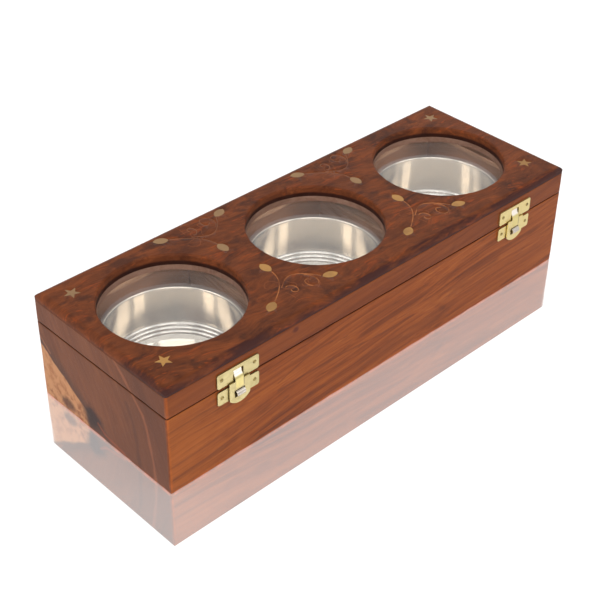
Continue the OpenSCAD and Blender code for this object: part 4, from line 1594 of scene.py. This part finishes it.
@dataclass
class Bowls:
    """Three spun steel bowls: a flat bottom, three steps, a steep wall and a rolled rim."""

    radius: float = 0.039
    height: float = 0.030
    steel: float = 0.0008
    roll: float = 0.0009
    flat_r: float = 0.0335
    step_h: float = 0.0019
    pitch: float = 0.1027
    row_y: float = 0.0017
    stand_z: float = 0.016
    turns: int = 144
    rim_steps: int = 20

    def middle_line(self) -> list[Point2]:
        """The middle of the steel from the bowl's axis up to the roll, with its corners rounded.

        Returns:
            Its points, as radius and height.
        """
        wall, z = self.radius - self.roll, self.steel / 2
        run = (wall - MM - self.flat_r) / 3
        line = [(0.0, z), (self.flat_r * 0.5, z), (self.flat_r - 0.0012, z), (self.flat_r, z)]
        for k in range(3):
            line.append((self.flat_r + run * (k + 0.2), z + self.step_h * (k + 0.8)))
            line.append((self.flat_r + run * (k + 1.0), z + self.step_h * (k + 1.0)))
        line += [(wall - 0.0007, z + self.step_h * 4), (wall, self.height - 2 * self.roll)]
        for _ in range(2):
            cut = [line[0]]
            for a, b in zip(line, line[1:]):
                cut += [tuple(u * share + v * (1 - share) for u, v in zip(a, b)) for share in (0.75, 0.25)]
            line = cut + [line[-1]]
        return line

    def outline(self) -> list[Point2]:
        """The outline of the steel, from the axis up the inside, round the roll and down the outside.

        Returns:
            Its points, as radius and height, with both ends on the axis.
        """
        line, half = self.middle_line(), self.steel / 2
        inside, outside = [], []
        for i, (r, z) in enumerate(line):
            a, b = line[max(i - 1, 0)], line[min(i + 1, len(line) - 1)]
            reach = math.hypot(b[0] - a[0], b[1] - a[1])
            across, up = -(b[1] - a[1]) / reach * half, (b[0] - a[0]) / reach * half
            inside.append((max(r + across, 0.0), z + up))
            outside.append((max(r - across, 0.0), z - up))
        inside[0], outside[0] = (0.0, self.steel), (0.0, 0.0)
        meet = math.degrees(math.acos(self.steel / (2 * self.roll)))
        rim = []
        for i in range(self.rim_steps + 1):
            angle = math.radians(180 + meet + (-meet - 180 - meet) * i / self.rim_steps)
            rim.append((self.radius - self.roll + self.roll * math.cos(angle),
                        self.height - self.roll + self.roll * math.sin(angle)))
        return inside + rim + outside[::-1]

    def tree(self) -> GeometryTree:
        """Turns the input's points, read as radius and height, round an upright axis.

        Returns:
            The tree.
        """
        tree = GeometryTree("turned_bowl")
        turns = tree.take("Turns", self.turns, "NodeSocketInt")
        count = tree.take("Outline points", 2, "NodeSocketInt")
        centre_x, centre_y, foot = (tree.take(name, 0.0) for name in ("Centre X", "Centre Y", "Stands at"))
        grid = {"Size X": 1.0, "Size Y": 1.0, "Vertices X": tree.math("ADD", turns, 1.0), "Vertices Y": count}
        index = tree.made("GeometryNodeInputIndex")
        column = tree.math("FLOOR", tree.math("DIVIDE", tree.math("ADD", index, 0.5), count))
        row = tree.less(index, tree.times(column, count))
        sample = tree.node("GeometryNodeSampleIndex", data_type="FLOAT_VECTOR", domain="POINT", clamp=True)
        for name, value in (("Geometry", tree.given), ("Value", tree.made("GeometryNodeInputPosition")),
                            ("Index", tree.math("ROUND", row))):
            tree.put(sample.inputs[name], value)
        reach, _, height = tree.axes(sample.outputs[0])
        angle = tree.math("DIVIDE", tree.times(column, 2 * math.pi), turns)
        x = tree.plus(centre_x, tree.math("COSINE", angle), reach)
        y = tree.plus(centre_y, tree.math("SINE", angle), reach)
        place = {"Position": tree.joined(x, y, tree.math("ADD", height, foot))}
        turned = tree.pipe("GeometryNodeSetPosition", tree.made("GeometryNodeMeshGrid", grid), place)
        welded = tree.pipe("GeometryNodeMergeByDistance", turned, {"Distance": WELD})
        tree.close(tree.pipe("GeometryNodeSetShadeSmooth", welded, {"Shade Smooth": True}))
        return tree

    def build(self) -> None:
        """Spins the three bowls."""
        outline, tree = self.outline(), self.tree()
        for node, x in (("left_bowl", -self.pitch), ("middle_bowl", 0.0), ("right_bowl", self.pitch)):
            finish = SteelFinish(f"{node}_steel", (x, self.row_y)).build()
            points = mesh_of(f"{node}_outline", [(r, 0.0, z) for r, z in outline])
            bowl = tree.grow(f"{node}_spun", points, finish, **{
                "Turns": self.turns, "Outline points": len(outline), "Centre X": x, "Centre Y": self.row_y,
                "Stands at": self.stand_z})
            hand_over(outward(bowl), node, node)


@dataclass(frozen=True)
class Lamp:
    """A square soft lamp that faces the box."""

    name: str
    at: Point3
    size: float
    watts: float

    def hang(self) -> None:
        """Puts the lamp in the scene."""
        data = bpy.data.lights.new(self.name, "AREA")
        data.shape, data.size, data.energy = "SQUARE", self.size, self.watts
        made = linked(self.name, data)
        made.location = self.at
        made.rotation_mode = "QUATERNION"
        made.rotation_quaternion = (-Vector(self.at)).to_track_quat("-Z", "Y")


@dataclass
class Studio:
    """The white table, plain soft light and the photograph's camera."""

    azimuth: float = -44.00
    elevation: float = 36.50
    roll: float = 0.76
    lens: float = 79.86
    sensor: float = 36.0
    camera_at: Point3 = (-0.43747, -0.43964, 0.47391)
    light: float = 0.36
    table_half: float = 6.0
    table_z: float = -0.0002
    lamps: tuple[Lamp, ...] = (
        Lamp("key", (-1.40, -1.45, 1.50), 2.0, 17.8),
        Lamp("left_box", (-1.75, 0.61, 1.54), 1.2, 9.4),
        Lamp("right_box", (0.66, -1.71, 1.54), 1.2, 9.4),
    )

    def camera(self) -> None:
        """Sets the camera where the photograph was taken from."""
        a, e, turn = (math.radians(value) for value in (self.azimuth, self.elevation, self.roll))
        back = Vector((math.sin(a) * math.cos(e), -math.cos(a) * math.cos(e), math.sin(e)))
        right = Vector((0, 0, 1)).cross(back).normalized()
        up = back.cross(right)
        across = right * math.cos(turn) + up * math.sin(turn)
        upward = up * math.cos(turn) - right * math.sin(turn)
        data = bpy.data.cameras.new("camera")
        data.lens, data.sensor_width, data.sensor_fit = self.lens, self.sensor, "HORIZONTAL"
        data.clip_start, data.clip_end = 0.05, 50.0
        made = linked("camera", data)
        turned = Matrix((across, upward, back)).transposed().to_4x4()
        made.matrix_world = Matrix.Translation(self.camera_at) @ turned
        bpy.context.scene.camera = made

    def world(self) -> None:
        """A white surrounding: full white to the eye, plain as light."""
        world = bpy.data.worlds.new("white_room")
        world.use_nodes = True
        graph = Graph(world.node_tree)
        graph.nodes.clear()
        strength = graph.plus(self.light, graph.seen(), 1.0 - self.light)
        sky = graph.made("ShaderNodeBackground", {"Color": WHITE, "Strength": strength})
        graph.links.new(sky, graph.node("ShaderNodeOutputWorld").inputs[0])
        bpy.context.scene.world = world

    def floor(self) -> None:
        """The table top that the box stands on."""
        shape = bmesh.new()
        bmesh.ops.create_grid(shape, x_segments=8, y_segments=8, size=self.table_half)
        bmesh.ops.translate(shape, verts=shape.verts, vec=(0, 0, self.table_z))
        mesh = bpy.data.meshes.new("table_top")
        shape.to_mesh(mesh)
        shape.free()
        dressed(linked("table_top", mesh), FloorFinish("table_white").build())

    def build(self) -> None:
        """Sets up the studio."""
        self.camera()
        self.world()
        for lamp in self.lamps:
            lamp.hang()
        self.floor()
        bpy.context.scene.view_settings.view_transform = "Standard"


def main() -> None:
    """Builds the box part by part."""
    logging.basicConfig(level=logging.INFO, format="%(message)s")
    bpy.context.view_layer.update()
    Studio().build()
    palette = Palette()
    for part in (Carcass(palette), Lid(palette), Inlay(palette), Hardware(palette), Bowls()):
        LOG.info("%s", type(part).__name__)
        part.build()


if __name__ == "__main__":
    main()
